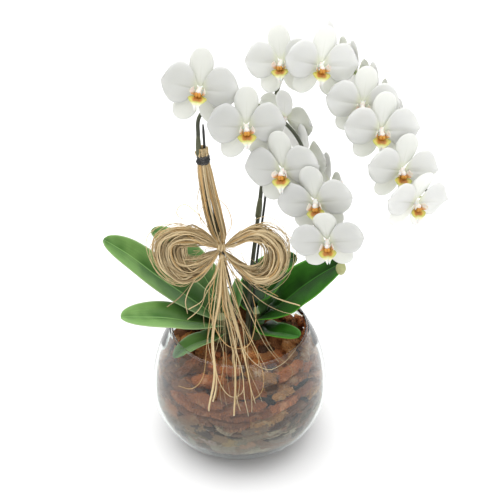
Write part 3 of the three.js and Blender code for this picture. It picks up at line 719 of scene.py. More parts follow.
def raffia_material():
    m = Nodes("raffia", 0.6)
    fibres = m.noise(2.0, stretch=(0.35, 22, 1), uv=True, detail=6)
    patches = m.noise(45, detail=3)
    straw = m.mix(m.between(fibres, 0.3, 0.7), (0.42, 0.31, 0.155), (0.74, 0.60, 0.37))
    straw = m.mix(m.between(patches, 0.5, 0.75, 0.0, 0.5), straw, (0.74, 0.62, 0.40))
    m.tinted(straw)
    m.bump(fibres, 0.6, 0.0005)
    return m.material


def tie_material():
    m = Nodes("tie", 0.75)
    at = m.place(uv=True)
    inputs = {"Vector": at, "Scale": 3.0, "Distortion": 2.0}
    strands = m.node("ShaderNodeTexWave", inputs, "Fac", bands_direction="DIAGONAL")
    m.set("Base Color", m.mix(strands, (0.02, 0.02, 0.02), (0.16, 0.15, 0.14)))
    m.bump(strands, 0.8, 0.0008)
    return m.material


def glass_material():
    """Clear glass with faint smears, which show as a small change of roughness."""
    m = Nodes("bowl_glass", 0.0, Transmission_Weight=1.0, IOR=1.4)
    m.set("Base Color", m.mix(m.noise(6, detail=2), (0.865, 0.92, 0.90), (0.905, 0.945, 0.93)))
    m.set("Roughness", m.between(m.noise(30, detail=5), 0.55, 0.85, 0.0, 0.004))
    m.bump(m.noise(9, detail=1), 0.02, 0.0006)
    return m.material


# The bowl


def ellipse_radius(z):
    """The outer radius of the bowl at a height."""
    z = np.asarray(z, float)
    below = z < BOWL["equator"]
    end = np.where(below, BOWL["base"], BOWL["rim"])
    reach = np.where(below, BOWL["equator"], BOWL["height"] - BOWL["equator"])
    semi = reach / np.sqrt(1 - (end / BOWL["radius"]) ** 2)
    return BOWL["radius"] * np.sqrt(1 - ((z - BOWL["equator"]) / semi) ** 2)


def make_bowl():
    """A smooth bowl: flat foot, round wall, fire-polished rim and a thick, softly curved floor."""
    lip = BOWL["height"] - 2
    floor = BOWL["floor"]
    outside = [(ellipse_radius(z), z) for z in np.linspace(2.4, lip, 60)]
    foot = [(58.6, 0), (60.2, 0.2), (61.6, 1.0)]
    half = RIM_WALL / 2
    middle = BOWL["rim"] - half
    turns = np.linspace(0, math.pi, 9)
    rim = [(middle + half * math.cos(a), lip + 0.6 + half * math.sin(a)) for a in turns]
    heights = np.linspace(lip, 27, 54)
    walls = RIM_WALL + (BOWL["wall"] - RIM_WALL) * ramp(lip, 135, heights)
    inside = list(zip(ellipse_radius(heights) - walls, heights))
    corner = [(74, 22.4), (71.4, 20.2), (69, 20.2), (66.6, 18.4), (63.6, 18.5), (60, 17.3)]
    flat = [(50, floor), (0, floor)]
    bowl = turned([(0, 0), *foot, *outside, *rim, *inside, *corner, *flat], 144)
    piece("bowl", [bowl], [glass_material()], "glass_bowl")


# The bark


def chip(random, size, at, turn, tilt, lean, tint):
    """One chip of bark: a flat slab with broken ends, slightly rounded edges and a rough face."""
    length, width, height = size
    rows, columns = 9, 6
    u = np.linspace(-1, 1, rows)[:, None]
    v = np.linspace(-1, 1, columns)[None, :]
    taper = 1 - random.uniform(0.0, 0.4) * np.abs(u) ** 1.5
    skew = 0.3 * random.normal()
    ends = np.abs(u) ** 3 * random.normal(size=(1, columns)) * 0.06 * length
    sides = np.abs(v) ** 3 * random.normal(size=(rows, 1)) * 0.07 * width
    x = 0.5 * length * u * (1 - 0.1 * v**2) + skew * width * 0.2 * v + ends
    y = 0.5 * width * v * taper + sides
    dome = 0.5 * height * (1 - 0.55 * np.abs(u) ** 14) * (1 - 0.55 * np.abs(v) ** 8)
    bend = random.normal() * 0.035 * length * u**2 + random.normal() * 0.03 * width * v
    rough = 0.10 * height * random.normal(size=(2, rows, columns))
    top = np.stack([x, y, dome + bend + rough[0]], axis=2)
    under = np.stack([x, y, -dome + bend + rough[1]], axis=2)
    part = slab(top, under, np.zeros((rows, columns, 2)), tint)
    grain = part["points"][:, :2] / 12 + random.random(2) * 20
    spin = rotation(2, turn) @ rotation(1, lean) @ rotation(0, tilt)
    points = part["points"] @ spin.T + at
    return {**part, "points": points, "uv": grain, "faces": part["faces"][:, ::-1]}


def kept_in(points):
    """Points drawn in until they clear the glass and its floor."""
    z = np.clip(points[:, 2], 19, BOWL["height"] - 8)
    room = ellipse_radius(z) - BOWL["wall"] - 0.6
    room = np.minimum(room, 50 + 62 * ramp(BOWL["floor"], 50, z))
    radius = np.hypot(points[:, 0], points[:, 1])
    share = np.minimum(1, room / np.maximum(radius, 1e-6))
    return np.stack([points[:, 0] * share, points[:, 1] * share, z], axis=1)


def surface_height(x, y):
    """The top of the bark: heaped on the right and at the back, low round the crowns."""
    heap = 16 * ramp(40, 92, x) + 12 * ramp(35, 80, y)
    crowns = np.array(list(CROWNS.values()))
    dips = 8 * np.exp(-((crowns - (x, y)) ** 2).sum(axis=1) / 500)
    return BARK_TOP - 2 + heap - dips.sum()


def chip_tint(random):
    """Most chips are red-brown, some pale or pink and some dark."""
    kind = random.random()
    if kind < 0.16:
        base = (1.25, 1.45, 1.5)
    elif kind < 0.34:
        base = (0.38, 0.38, 0.40)
    elif kind < 0.5:
        base = (1.35, 1.2, 0.95)
    else:
        base = (0.95, 0.86, 0.80)
    shade = random.uniform(0.7, 1.25)
    return tuple(c * shade * random.uniform(0.92, 1.08) for c in base)


def wall_chips(random):
    """Chips against the glass: the upper ones lie flat, and the lower ones face outwards."""
    parts = []
    for i in range(WALL_CHIPS):
        share = (i + 0.5) / WALL_CHIPS
        z = 20 + (BARK_TOP - 24) * share
        angle = GOLDEN_ANGLE * i
        size = random.uniform((18, 9, 3), (38, 18, 7))
        facing = random.random() < 0.8 - 0.5 * share
        if z > FRONT_BAND and math.sin(angle) < -0.4:
            continue
        depth = random.uniform(1, 4) if facing else size[1] * random.uniform(0.3, 0.5)
        radius = ellipse_radius(z) - BOWL["wall"] - 1 - depth
        at = (radius * math.cos(angle), radius * math.sin(angle), z)
        slope = math.atan2(z - BOWL["equator"], BOWL["radius"]) * 1.1
        tilt = random.normal() * 0.22 + (math.pi / 2 - slope if facing else 0)
        lean = random.normal() * (0.5 if facing else 0.16)
        turn = angle + math.pi / 2
        parts.append(chip(random, size, at, turn, tilt, lean, chip_tint(random)))
    return parts


def top_chips(random):
    """Chips that lie flat on the bed, along the wall near it and any way in the middle."""
    parts = []
    for i in range(TOP_CHIPS):
        angle = GOLDEN_ANGLE * i + 1
        radius = 90 * math.sqrt((i + 0.5) / TOP_CHIPS)
        x, y = radius * math.cos(angle), radius * math.sin(angle)
        size = random.uniform((22, 10, 5), (42, 19, 9))
        if y < -64:
            continue
        if radius < 60:
            turn = random.uniform(0, math.pi)
        else:
            turn = angle + math.pi / 2 + random.normal() * 0.5
        at = (x, y, surface_height(x, y) - 4 + random.uniform(-5, 3))
        tilt, lean = random.normal() * 0.25, random.normal() * 0.25
        parts.append(chip(random, size, at, turn, tilt, lean, chip_tint(random)))
    return parts


def placed_chips(random):
    parts = []
    for x, y, z, length, turn, tilt, lean, tint in PLACED_CHIPS:
        size = (length, random.uniform(0.28, 0.40) * length, random.uniform(6, 9))
        angles = [math.radians(angle) for angle in (turn, tilt, lean)]
        shade = random.uniform(0.6, 1.25)
        colour = tuple(shade * share for share in CHIP_TINTS[tint])
        parts.append(chip(random, size, (x, y, z), *angles, colour))
    return parts


def make_bark():
    """A dark core, which fills the gaps, under all the chips; its dark tint is painted shade
    between the chips.
    """
    random = np.random.default_rng(SEEDS["bark"])
    core = turned([(0, 22), (44, 22), (66, 34), (88, 62), (90, 84), (84, 102), (0, 102)], 40)
    # The core's near-black tint is painted shade
    parts = [{**core, "tint": np.full_like(core["tint"], 0.06)}]
    parts += wall_chips(random) + top_chips(random) + placed_chips(random)
    parts = [moved(part, kept_in) for part in parts]
    bark = piece("bark", parts, [bark_material()], "bark_bed")
    bark.data.set_sharp_from_angle(angle=SHARP_ANGLE)


# The blooms


def outline(u, widest, fullness, end):
    """Half width along a petal or sepal: a narrow foot, widest at widest and round at the end."""
    rise = np.sin(0.5 * np.pi * np.clip(u / widest, 0.004, 1)) ** fullness
    fall = np.sqrt(np.clip(1 - ((u - widest) / end) ** 2, 0, 1))
    return np.where(u < widest, rise, fall)


def grid(rows, columns):
    """Places along and across a sheet: u from 0 to 1 and v from -1 to 1."""
    return np.meshgrid(np.linspace(0, 1, rows), np.linspace(-1, 1, columns), indexing="ij")


def petal(side, random):
    """One broad side petal, right for side 1. Its upper half is the wider one."""
    u, v = grid(26, 19)
    half = np.where(v > 0, PETAL["half_up"], PETAL["half_down"])
    frill = 1 + 0.012 * np.sin(19 * u + 3 * random.random()) * np.abs(v)
    width = half * v * outline(u, 0.55, 0.72, 0.462) * frill
    reach = PETAL["foot"] + PETAL["length"] * u * (1 - 0.06 * v**2)
    bow = PETAL["front"] + 5 * np.sin(0.55 * np.pi * u) - 3.4 * v**2 * u - 3.2 * u**2
    wave = 1.5 * u * np.sin(4.2 * v + 1.3 * side)
    ruffle = 1.1 * u * v**2 * np.sin(9 * u * np.sign(v) + random.uniform(0, 6))
    groove = -1.5 * np.exp(-((v / 0.12) ** 2)) * (1 - ramp(0.35, 0.9, u)) * ramp(0.02, 0.12, u)
    lift = math.radians(PETAL["lift"] + random.normal() * 1.5)
    x = side * (reach * math.cos(lift) - width * math.sin(lift))
    y = reach * math.sin(lift) + width * math.cos(lift)
    z = bow + wave + ruffle + groove
    return sheet((x, y, z), THICKNESS["petal"], u, v, flip=side < 0, tint=PAINTED_PETAL_SHADE)


def sepal(angle, shape, curl, random):
    """One sepal, whose angle is clockwise from straight up."""
    u, v = grid(22, 11)
    turn = math.radians(angle + random.normal() * 1.5)
    across = shape["half"] * v * outline(u, 0.6, 0.85, 0.408)
    along = SEPAL["foot"] + shape["length"] * u
    keel = 0.5 * np.exp(-((v / 0.12) ** 2)) * (1 - u)
    cup = curl * u**2 + 1.6 * u - 1.8 * v**2 * np.sin(np.pi * u)
    wave = 0.5 * u * v * np.sin(6 * u + random.uniform(0, 6))
    x = along * math.sin(turn) + across * math.cos(turn)
    y = along * math.cos(turn) - across * math.sin(turn)
    z = cup - SEPAL["back"] - keel + wave
    return sheet((x, y, z), THICKNESS["petal"], u, v)


def column():
    """The column: a short round post that widens to its cap, with the hub behind it."""
    back, length = COLUMN["back"], COLUMN["length"]
    profile = [
        (0, -back), (2.2, 0.2 - back), (3.8, -1.2), (4.2, -0.3), (3.6, 1.2), (2.7, 3.4), (2.5, 5.2),
        (2.9, 6.6), (3.0, 8.0), (2.4, 9.1), (1.3, 9.6), (0, length),
    ]
    post = turned(profile, 16, slot=1)
    post["points"][:, 1] -= 0.06 * np.maximum(post["points"][:, 2], 0) ** 1.4
    return post


def middle_lobe():
    """The lip's middle lobe: a kite with a thin tip."""
    u, v = grid(20, 15)
    stations = [0, 0.1, 0.22, 0.36, 0.5, 0.62, 0.76, 0.9, 1]
    x = v * np.interp(u, stations, [2.6, 5.0, 8.6, 10.4, 8.4, 5.0, 2.9, 2.0, 1.3])
    fork = 1.6 * (1 - np.abs(v)) * ramp(0.9, 1, u)
    corners = 1.2 * v**2 * np.exp(-(((u - 0.34) / 0.2) ** 2))
    y = LIP_FOOT - 0.3 - 7.5 * u - 8.2 * u**2 + fork + corners
    groove = 1.4 * np.exp(-((v / 0.25) ** 2)) * ramp(0.1, 0.5, u)
    z = 3.6 + 11 * np.sin(0.62 * np.pi * u) + 1.2 * v**2 * u - groove
    return sheet((x, y, z), THICKNESS["lip"], u, v)


def side_lobe(side):
    """One of the lip's side lobes, which stand up beside the column."""
    u, v = grid(12, 9)
    half = 2.2 + 3.6 * np.sin(0.8 * np.pi * u) * (1 - 0.3 * u)
    flare = 1.9 * v * (0.3 + 0.7 * np.sin(np.pi * u))
    x = side * (3.4 + 4.6 * np.sin(0.5 * np.pi * u) - 1.6 * u**2 + flare)
    y = LIP_FOOT - 0.2 + 8.8 * u**1.3
    z = 6.4 + 4.6 * u + half * v
    return sheet((x, y, z), THICKNESS["lobe"], u, v, flip=side > 0, slot=1)


def callus(side):
    """One of two beads between the side lobes."""
    at = (side * 1.5, LIP_FOOT + 0.6, 10.0)
    bead = lump(1.3, (0.9, 0.9), 1.25, at, (1.7, 2.2, 1.5), 8)
    return {**bead, "uv": np.full_like(bead["uv"], 0.2)}


def faced(at, yaw, pitch, roll, size):
    """A function that takes points from a bloom's own frame, facing +Z, to its place."""
    a, b, c = (math.radians(angle) for angle in (yaw, 90 - pitch, roll))
    turn = rotation(2, a) @ rotation(0, b) @ rotation(2, c)
    return lambda points: np.asarray(points, float) @ turn.T * size + at


def tepals(pitch, shade, random):
    """The petals, sepals and column of one bloom. Those that look down are curled, and painted
    lighter: painted light.
    """
    curl = 6 if pitch < -4 else -2
    spread = LOWER_SEPAL["spread"]
    parts = [
        petal(1, random),
        petal(-1, random),
        sepal(0, SEPAL, curl, random),
        sepal(180 - spread, LOWER_SEPAL, -3, random),
        sepal(180 + spread, LOWER_SEPAL, -3, random),
        column(),
    ]
    # Painted light: the tint of blooms that look down is raised
    shade *= 1 + 0.012 * max(0, -pitch)
    return [{**part, "tint": part["tint"] * shade} for part in parts]


def make_blooms():
    petal_looks = [petal_material(), column_material()]
    lip_looks = [lip_material(), lobe_material()]
    lip = [middle_lobe(), side_lobe(1), side_lobe(-1), callus(1), callus(-1)]
    random = np.random.default_rng(SEEDS["blooms"])
    for row, blooms in BLOOMS.items():
        for number, bloom in enumerate(blooms, 1):
            place = faced(*bloom)
            name = f"{row}_{number}"
            petals = [moved(part, place) for part in tepals(bloom[2], PAINTED_ROW_LIGHT[row], random)]
            piece(f"{name}_petals", petals, petal_looks, f"{name}_tepals")
            lobes = [moved(part, place) for part in lip]
            piece(f"{name}_lobes", lobes, lip_looks, f"{name}_lip")


# The spikes


def stalk(place, stem):
    """The short stalk from the nearest point of the stem to the back of a bloom."""
    end = place([(0, 0, -COLUMN["back"] - 0.2)])[0]
    behind = place([(0, 0, -COLUMN["back"] - 14)])[0]
    start = stem[np.argmin(np.linalg.norm(stem - end, axis=1))]
    route = bezier(start, start + 0.45 * (behind - start), behind, end, 16)
    share = np.linspace(0, 1, 16)
    swelling = 0.25 * ramp(0.8, 1, share) + 0.25 * ramp(0.1, 0, share)
    return tube(route, PEDICEL_RADIUS * (0.95 + swelling), 8, slot=1)


def make_spike(side, points, nodes, looks):
    """A stem with its joints and scale leaves, and a stalk to the back of each bloom."""
    path = evenly(points, 150)
    share = np.linspace(0, 1, 150)
    thick, thin = STEM_RADII
    swellings = sum(0.5 * np.exp(-(((share - at) / 0.004) ** 2)) for at in nodes)
    radii = thick + (thin - thick) * share + swellings
    parts = [tube(path, radii, 12)]
    for at in nodes:
        k = int(at * 149)
        bract = evenly([path[k - 2], path[k + 1], path[k + 4]], 6) + (0, -0.4, 0)
        wide = np.array([1.25, 1.3, 1.25, 1.15, 0.95, 0.6]) * radii[k]
        parts.append(tube(bract, wide, 10, tint=(1.9, 1.8, 1.6)))
    bearing = evenly(points, 61)[20:]
    for bloom in BLOOMS[f"bloom_{side}"] + BLOOMS[f"bloom_{side}_back"]:
        parts.append(stalk(faced(*bloom), bearing))
    piece(f"stalks_{side}", parts, looks, f"spike_{side}")


def make_stake(side, points, material):
    radii = np.full(40, STAKE_RADIUS)
    radii[-1] = 0.6 * STAKE_RADIUS
    rod = tube(evenly(points, 40), radii, 12)
    piece(f"rod_{side}", [rod], [material], f"stake_{side}")


def make_bud():
    """The bud: an egg with three shallow seams, under the tip of the left spike."""
    bud = turned([
        (0, -8.1), (2.0, -7.6), (4.1, -5.6), (5.5, -2.4), (5.9, 0.6), (5.2, 3.8), (3.6, 6.2),
        (1.8, 7.6), (0, 8.1),
    ], 24)
    points = bud["points"]
    angle = np.arctan2(points[:, 1], points[:, 0])
    points[:, :2] *= 1 - 0.07 * np.exp(-((np.sin(1.5 * angle) / 0.25) ** 2))[:, None]
    points += np.array(LEFT_STEM[-1]) + (2, 0, -8.7)
    piece("bud", [bud], [bud_material()], "bud_left")


# The leaves


def make_leaf(name, side, material, bearing, rise, half, roll, rib):
    """A strap leaf with a keeled midrib, a channelled upper face and a softly waved edge."""
    away = rotation(2, math.radians(bearing))[:, 0]
    foot = np.array([*CROWNS[side], rise]) + away * (CROWN_RADIUS + LEAF_GAP)
    path = [foot, foot + away * 4 + (0, 0, 11), *rib]
    u, v = grid(56, 17)
    line = u[:, 0]
    at = curve_at(path, line)
    along = normalised(np.gradient(at, axis=0))
    flat = normalised(np.cross(along, (0, 0, 1)))
    normal = normalised(np.cross(flat, along))
    turn = np.radians(roll) * np.minimum(1, 2 * line)[:, None]
    across = flat * np.cos(turn) + normal * np.sin(turn)
    over = normal * np.cos(turn) - flat * np.sin(turn)
    width = 6 + (half - 6) * np.sin(np.pi * np.minimum(1.3 * line, 0.5))
    tipward = np.where(line > 0.5, np.sqrt(np.clip(1 - ((line - 0.5) / 0.502) ** 2, 0, 1)), 1)
    reach = (width * tipward)[:, None] * v
    fold = 0.32 * np.abs(reach) * (1.5 - u)
    seed = sum(ord(letter) for letter in name)
    wave = 0.05 * half * np.sin(7 * u + 2.2 * v + seed) * np.abs(v) * ramp(0.15, 0.5, u)
    groove = -0.7 * np.exp(-((v / 0.1) ** 2)) * ramp(0.05, 0.2, u) * (1 - ramp(0.85, 1, u))
    lifted = fold + wave + groove
    points = at[:, None] + across[:, None] * reach[..., None] + over[:, None] * lifted[..., None]
    points = np.moveaxis(points, 2, 0)
    blade = sheet(points, THICKNESS["leaf"], u, v, flip=True, edge=0.25)
    piece(f"{name}_blade", [blade], [material], name)


# The raffia


def strand(path, width, random, tint, thin=0.28):
    """One flat strand of raffia, narrower at its ends and slowly twisting."""
    share = np.linspace(0, 1, len(path))
    wobble = 1 + 0.2 * np.sin(random.uniform(3, 9) * share + random.uniform(0, 6))
    radii = 0.5 * width * wobble * (0.55 + 0.45 * np.sin(np.pi * np.clip(share, 0.02, 0.98)) ** 0.4)
    part = tube(path, radii, 5, flat=thin, turn=random.uniform(-3, 3), tint=tint)
    return {**part, "uv": part["uv"] + random.random(2) * 9}


def straw_tint(random, warm=0.15):
    """Most strands are straw-coloured, some warm, some bright and some dark."""
    kind = random.random()
    if kind < warm:
        base = (0.94, 0.76, 0.52)
    elif kind < warm + 0.25:
        base = (1.16, 1.16, 1.16)
    elif kind < warm + 0.35:
        base = (0.55, 0.50, 0.42)
    else:
        base = (1.0, 0.98, 0.94)
    shade = random.uniform(0.80, 1.12)
    return tuple(c * shade for c in base)


def loop_path(reach, lift, drop, depth, count=34):
    """The route of one loop of the bow, out from the knot and back under itself."""
    x, y, z = KNOT
    far, high = reach[1:]

    def along(share):
        return x + (reach[0] - x) * share

    return evenly([
        (along(0.03), y, z),
        (along(0.3), y + depth, z + 0.62 * lift),
        (along(0.66), far + 3, z + lift),
        (along(0.93), far, (z + lift + high) / 2 + 4),
        reach,
        (along(0.9), far - 3, (z + drop + high) / 2 - 3),
        (along(0.6), far - 2, z + drop),
        (along(0.28), y + depth - 2, z + 0.6 * drop),
        (along(0.03), y - 1, z - 3),
    ], count)


def loop_between(random, loops, shrink, narrow):
    """A loop between the given ones, drawn in by up to shrink and flattened by up to narrow."""
    weights = random.dirichlet(np.full(len(loops), 0.6))
    reach = sum(w * np.array(loop[0], float) for w, loop in zip(weights, loops))
    lift, drop, depth = (sum(w * loop[k] for w, loop in zip(weights, loops)) for k in (1, 2, 3))
    inward = random.random() ** 1.3
    reach = KNOT + (reach - KNOT) * (1.03 - shrink * inward) + random.normal(size=3) * (1.2, 3, 2)
    lift *= 1.04 - narrow * random.random() * inward**0.5
    drop *= 1.04 - narrow * random.random() * inward**0.5
    return loop_path(tuple(reach), lift, drop, depth + random.normal() * 3)


def bow_strand(random, *loops):
    """One strand of the bow, waved and moved a little off its loop."""
    path = loop_between(random, *loops)
    middle = np.sin(np.linspace(0, np.pi, len(path)))[:, None]
    wave = np.sin(np.linspace(0, random.uniform(4, 10), len(path)) + random.uniform(0, 6))
    offset = random.normal(size=3) * (0.8, 1.6, 1.0)
    path = path + middle * (offset + wave[:, None] * random.normal(size=3) * 1.1)
    return strand(path, random.uniform(1.4, 3.6), random, straw_tint(random), thin=0.2)


def bow_hair(random, loop):
    """A fine fibre that has sprung out of a loop."""
    reach, lift, drop, depth = loop
    reach = tuple(np.array(reach) + random.normal(size=3) * (2.5, 4, 5))
    lift += random.uniform(-5, 6)
    drop -= random.uniform(-5, 8)
    path = loop_path(reach, lift, drop, depth, 40)
    wave = np.sin(np.linspace(0, random.uniform(5, 9), 40)) * np.sin(np.linspace(0, np.pi, 40))
    path = path + wave[:, None] * random.normal(size=3) * 2
    return strand(path, random.uniform(0.5, 1.0), random, HAIR, thin=0.6)


def knot_winding(random, k):
    """One of the strands that are wound over the middle of the bow."""
    angle = np.linspace(0.8 * k, 0.8 * k + 4.2, 14)
    aside = random.normal() * 0.8 + 3.4 * np.sin(0.5 * angle + k)
    ring = np.stack([aside, 4.0 * np.cos(angle), 4.8 * np.sin(angle)], axis=1)
    return strand(ring + KNOT, 3.0, random, straw_tint(random))


def whisker(random):
    """A thin stray fibre that curls away from the knot."""
    angle = random.uniform(0, 2 * np.pi)
    reach = random.uniform(14, 52)
    out = np.array([1.15 * math.cos(angle), -0.25, 0.8 * math.sin(angle) - 0.15]) * reach
    side = random.normal(size=3) * reach * (0.22, 0.12, 0.22)
    end = out + (0, random.uniform(-8, 2), -0.1 * reach)
    points = np.array([(0, 0, 0), 0.35 * out + side, 0.7 * out - 0.3 * side, end]) + KNOT
    return strand(evenly(points, 20), random.uniform(0.4, 0.75), random, HAIR, thin=0.7)


def make_bow(material):
    random = np.random.default_rng(SEEDS["bow"])
    parts = []
    for loops, strands, shrink, narrow in BOW_SIDES:
        parts += [bow_strand(random, loops, shrink, narrow) for _ in range(strands)]
    for loops in (LEFT_LOOPS, RIGHT_LOOPS):
        parts += [bow_hair(random, loops[0]) for _ in range(STRANDS["bow_hairs"])]
    parts += [knot_winding(random, k) for k in range(STRANDS["windings"])]
    parts.append(lump(4.8, (3.0, 3.4), 3.8, KNOT, (1.3, 0.85, 1), 12))
    parts += [whisker(random) for _ in range(STRANDS["whiskers"])]
    piece("bow", parts, [material], "raffia_bow")


def sleeve_strand(random, turn):
    """A strand down the stem, drawn in at the tie and again where it reaches the knot."""
    share = np.linspace(-0.06, 1.0, 26)
    middle = curve_at([at for at, _ in SLEEVE], share)
    middle[:, 2] += np.where(share < 0, -share * 110, 0)
    middle += ramp(0.8, 1, share)[:, None] * (np.array(KNOT) + (0, 3, 4) - middle[-1])
    stations = np.linspace(0, 1, len(SLEEVE))
    radius = np.interp(share, stations, [wide for _, wide in SLEEVE]) * random.uniform(0.72, 1.0)
    radius = radius * (1 - 0.22 * ramp(0.3, 0.1, share)) * (1 - 0.5 * ramp(0.86, 1, share))
    angle = 2 * np.pi * turn + random.normal() * 0.1 + share * random.uniform(-0.5, 0.9)
    path = middle + np.stack([radius * np.cos(angle), radius * np.sin(angle), 0 * share], axis=1)
    warm = 0.4 if 0.3 < turn < 0.9 else 0.15
    return strand(path, random.uniform(1.8, 3.2), random, straw_tint(random, warm))


def cut_end(random, turn):
    """The short end of a strand, which sticks out above the tie."""
    top = np.array(SLEEVE[0][0]) + (0, 0, 2)
    out = rotation(2, 2 * np.pi * turn + random.normal() * 0.2)[:, 0]
    start = top + out * 4.5 + (0, 0, -9)
    end = top + out * random.uniform(5, 9) + (0, 0, random.uniform(-3, 3))
    path = evenly([start, (start + end) / 2 + out * 0.6, end], 6)
    return strand(path, 2.4, random, CUT_END)


def make_sleeve(material):
    """Strands bound round the left stem, with cut ends above and loose loops."""
    random = np.random.default_rng(SEEDS["sleeve"])
    whole, cut = STRANDS["sleeve"], STRANDS["cut"]
    parts = [sleeve_strand(random, k / whole) for k in range(whole)]
    parts += [cut_end(random, k / cut) for k in range(cut)]
    for points in LOOSE_LOOPS:
        parts.append(strand(evenly(points, 26), 0.9, random, straw_tint(random), thin=0.6))
    piece("sleeve", parts, [material], "raffia_sleeve")


def make_tie(material):
    """Dark cord wound round the top of the sleeve, with two lumps of its knot in front."""
    centre = curve_at([at for at, _ in SLEEVE], np.array([TIE_PLACE]))[0] + (0, 0, TIE_LIFT)
    parts = []
    for k in range(2):
        angle = np.linspace(0, 6 * np.pi, 90)
        climb = np.linspace(-5, 5, 90) + 0.5 * np.sin(5 * angle + k)
        radius = TIE_RADIUS + 0.5 * np.sin(3 * angle + 2 * k)
        winding = np.stack([radius * np.cos(angle + k), radius * np.sin(angle + k), climb], axis=1)
        parts.append(tube(centre + winding, 1.5, 8))
    for x, z in ((-4.0, -1.0), (3.8, 1.6)):
        parts.append(lump(3.6, (3.3, 2.6), 4.4, centre + (x, 2.4 - TIE_RADIUS, z)))
    piece("tie", parts, [material], "raffia_tie")


def curled(random, path, amount):
    """A path with slow curls that grow towards its free end."""
    share = np.linspace(0, 1, len(path))[:, None]
    turns = random.uniform(5, 13)
    phase = random.uniform(0, 6, 3)
    return path + amount * share**1.2 * np.sin(turns * share + phase) * (1, 0.5, 0.5)


def mixed_end(random, start):
    """An end that runs between two of the front ones, and may be shorter."""
    a, b = random.choice(3, 2, replace=False)
    share = random.uniform(-0.15, 1.15)
    route = np.array(TAILS[a]) * (1 - share) + np.array(TAILS[b]) * share
    route = route + random.normal(size=route.shape) * (3.4, 2.2, 3)
    route[2:, 1] = np.minimum(route[2:, 1], np.array(TAILS[a])[2:, 1] + 1)
    keep = random.integers(2, 6)
    start = start + random.normal(size=3) * (2.5, 1, 1)
    path = curled(random, evenly([start, *route[:keep]], 40), 4.5)
    return strand(path, random.uniform(0.7, 2.4), random, straw_tint(random), thin=0.4)


def hair_end(random, start):
    """A fine fibre that strays from one of the front ends."""
    route = random.permutation(TAILS[:3])[0][:random.integers(2, 5)]
    side = random.normal(size=3) * (15, 6, 4)
    path = evenly([start, *route], 40) + np.linspace(0, 1, 40)[:, None] ** 1.3 * side
    path = curled(random, path, 5.0)
    return strand(path, random.uniform(0.4, 0.8), random, HAIR, thin=0.7)


def make_tails(material):
    """The ends that hang from the knot, most of them over the front of the rim."""
    random = np.random.default_rng(SEEDS["tails"])
    start = np.array(KNOT) + (0, -2, -8)
    parts = []
    for points in TAILS:
        for offset in ((0, 0, 0), (2.6, -0.6, 12)):
            path = curled(random, evenly([start, *(np.array(points) + offset)], 44), 3.6)
            parts.append(strand(path, random.uniform(2.2, 3.4), random, HAIR, thin=0.3))
    parts += [mixed_end(random, start) for _ in range(STRANDS["mixed"])]
    parts += [hair_end(random, start) for _ in range(STRANDS["hairs"])]
    for points in LOOSE_ENDS:
        width = random.uniform(1.0, 1.5)
        parts.append(strand(evenly(points, 36), width, random, straw_tint(random), thin=0.55))
    parts.append(lump(4, (2.8, 2.4), 3.6, np.array(KNOT) + (0, -2, -11.6)))
    piece("tails", parts, [material], "raffia_tails")


# Stage, light and camera

FLOOR_REACH = 9.0
CAMERA = dict(at=(0.013, -0.968, 0.869), down=31.8, lens=70, sensor=36)
WORLD_LIGHT = 0.72

# Each lamp: place, target, side and power
LAMPS = {
    "overhead": ((-0.4, 0.8, 3.0), (-0.1, 0.6, 0), 6, 190),
    "front_right": ((1.5, -1.9, 1.1), (0, 0, 0.3), 1.6, 9),
}


def make_stage():
    mesh = bpy.data.meshes.new("floor")
    signs = ((-1, -1), (1, -1), (1, 1), (-1, 1))
    corners = [(FLOOR_REACH * x, FLOOR_REACH * y, 0) for x, y in signs]
    mesh.from_pydata(corners, [], [(0, 1, 2, 3)])
    m = Nodes("floor_white", 0.9, Specular_IOR_Level=0.1)
    m.set("Base Color", m.mix(m.noise(3, detail=1), (0.90, 0.90, 0.90), (0.92, 0.92, 0.92)))
    mesh.materials.append(m.material)
    add("floor", mesh)


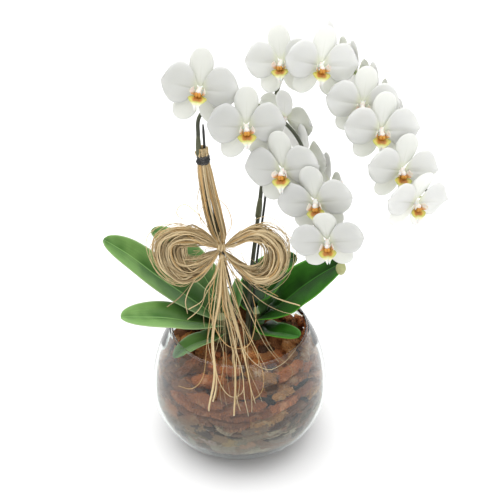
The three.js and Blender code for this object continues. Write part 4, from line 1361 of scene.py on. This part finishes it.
def softbox(name, at, target, side, power):
    """A square area light that faces its target."""
    data = bpy.data.lights.new(name, "AREA")
    data.shape = "RECTANGLE"
    data.size = side
    data.size_y = side
    data.energy = power
    lamp = add(name, data)
    lamp.location = at
    away = Vector(np.subtract(target, at))
    lamp.rotation_euler = away.to_track_quat("-Z", "Y").to_euler()


def make_light():
    world = bpy.data.worlds.new("studio")
    bpy.context.scene.world = world
    world.use_nodes = True
    background = world.node_tree.nodes["Background"]
    background.inputs["Color"].default_value = (1, 1, 1, 1)
    background.inputs["Strength"].default_value = WORLD_LIGHT
    for name, lamp in LAMPS.items():
        softbox(name, *lamp)


def make_camera():
    data = bpy.data.cameras.new("camera")
    data.sensor_width = CAMERA["sensor"]
    data.lens = CAMERA["lens"]
    camera = add("camera", data)
    camera.location = CAMERA["at"]
    camera.rotation_euler = (math.radians(90 - CAMERA["down"]), 0, 0)
    bpy.context.scene.camera = camera
    bpy.context.scene.view_settings.view_transform = "Standard"


make_camera()
make_light()
make_stage()
make_bowl()
make_bark()
make_blooms()

stem_looks = [stem_material(), pedicel_material()]
stake_look = stake_material()
make_spike("left", LEFT_STEM, [0.24, 0.50], stem_looks)
make_spike("right", RIGHT_STEM, [0.19, 0.33], stem_looks)
make_stake("left", LEFT_STAKE, stake_look)
make_stake("right", RIGHT_STAKE, stake_look)
make_bud()

leaf_looks = {
    "left": leaf_material(
        "leaf_left", (0.05, 0.15, 0.022), (0.20, 0.38, 0.10), (0.38, 0.52, 0.25), 0.34, 0.6,
    ),
    "right": leaf_material(
        "leaf_right", (0.008, 0.036, 0.004), (0.034, 0.165, 0.010), (0.12, 0.40, 0.03), 0.40, 0.25,
    ),
}
for leaf, shape in LEAVES.items():
    side = leaf.split("_")[1]
    make_leaf(leaf, side, leaf_looks[side], *shape)

crown_look = crown_material()
for crown in ("crown_left", "crown_right"):
    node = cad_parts[crown]
    node.data.materials.clear()
    node.data.materials.append(crown_look)

raffia_look = raffia_material()
make_bow(raffia_look)
make_sleeve(raffia_look)
make_tails(raffia_look)
make_tie(tie_material())
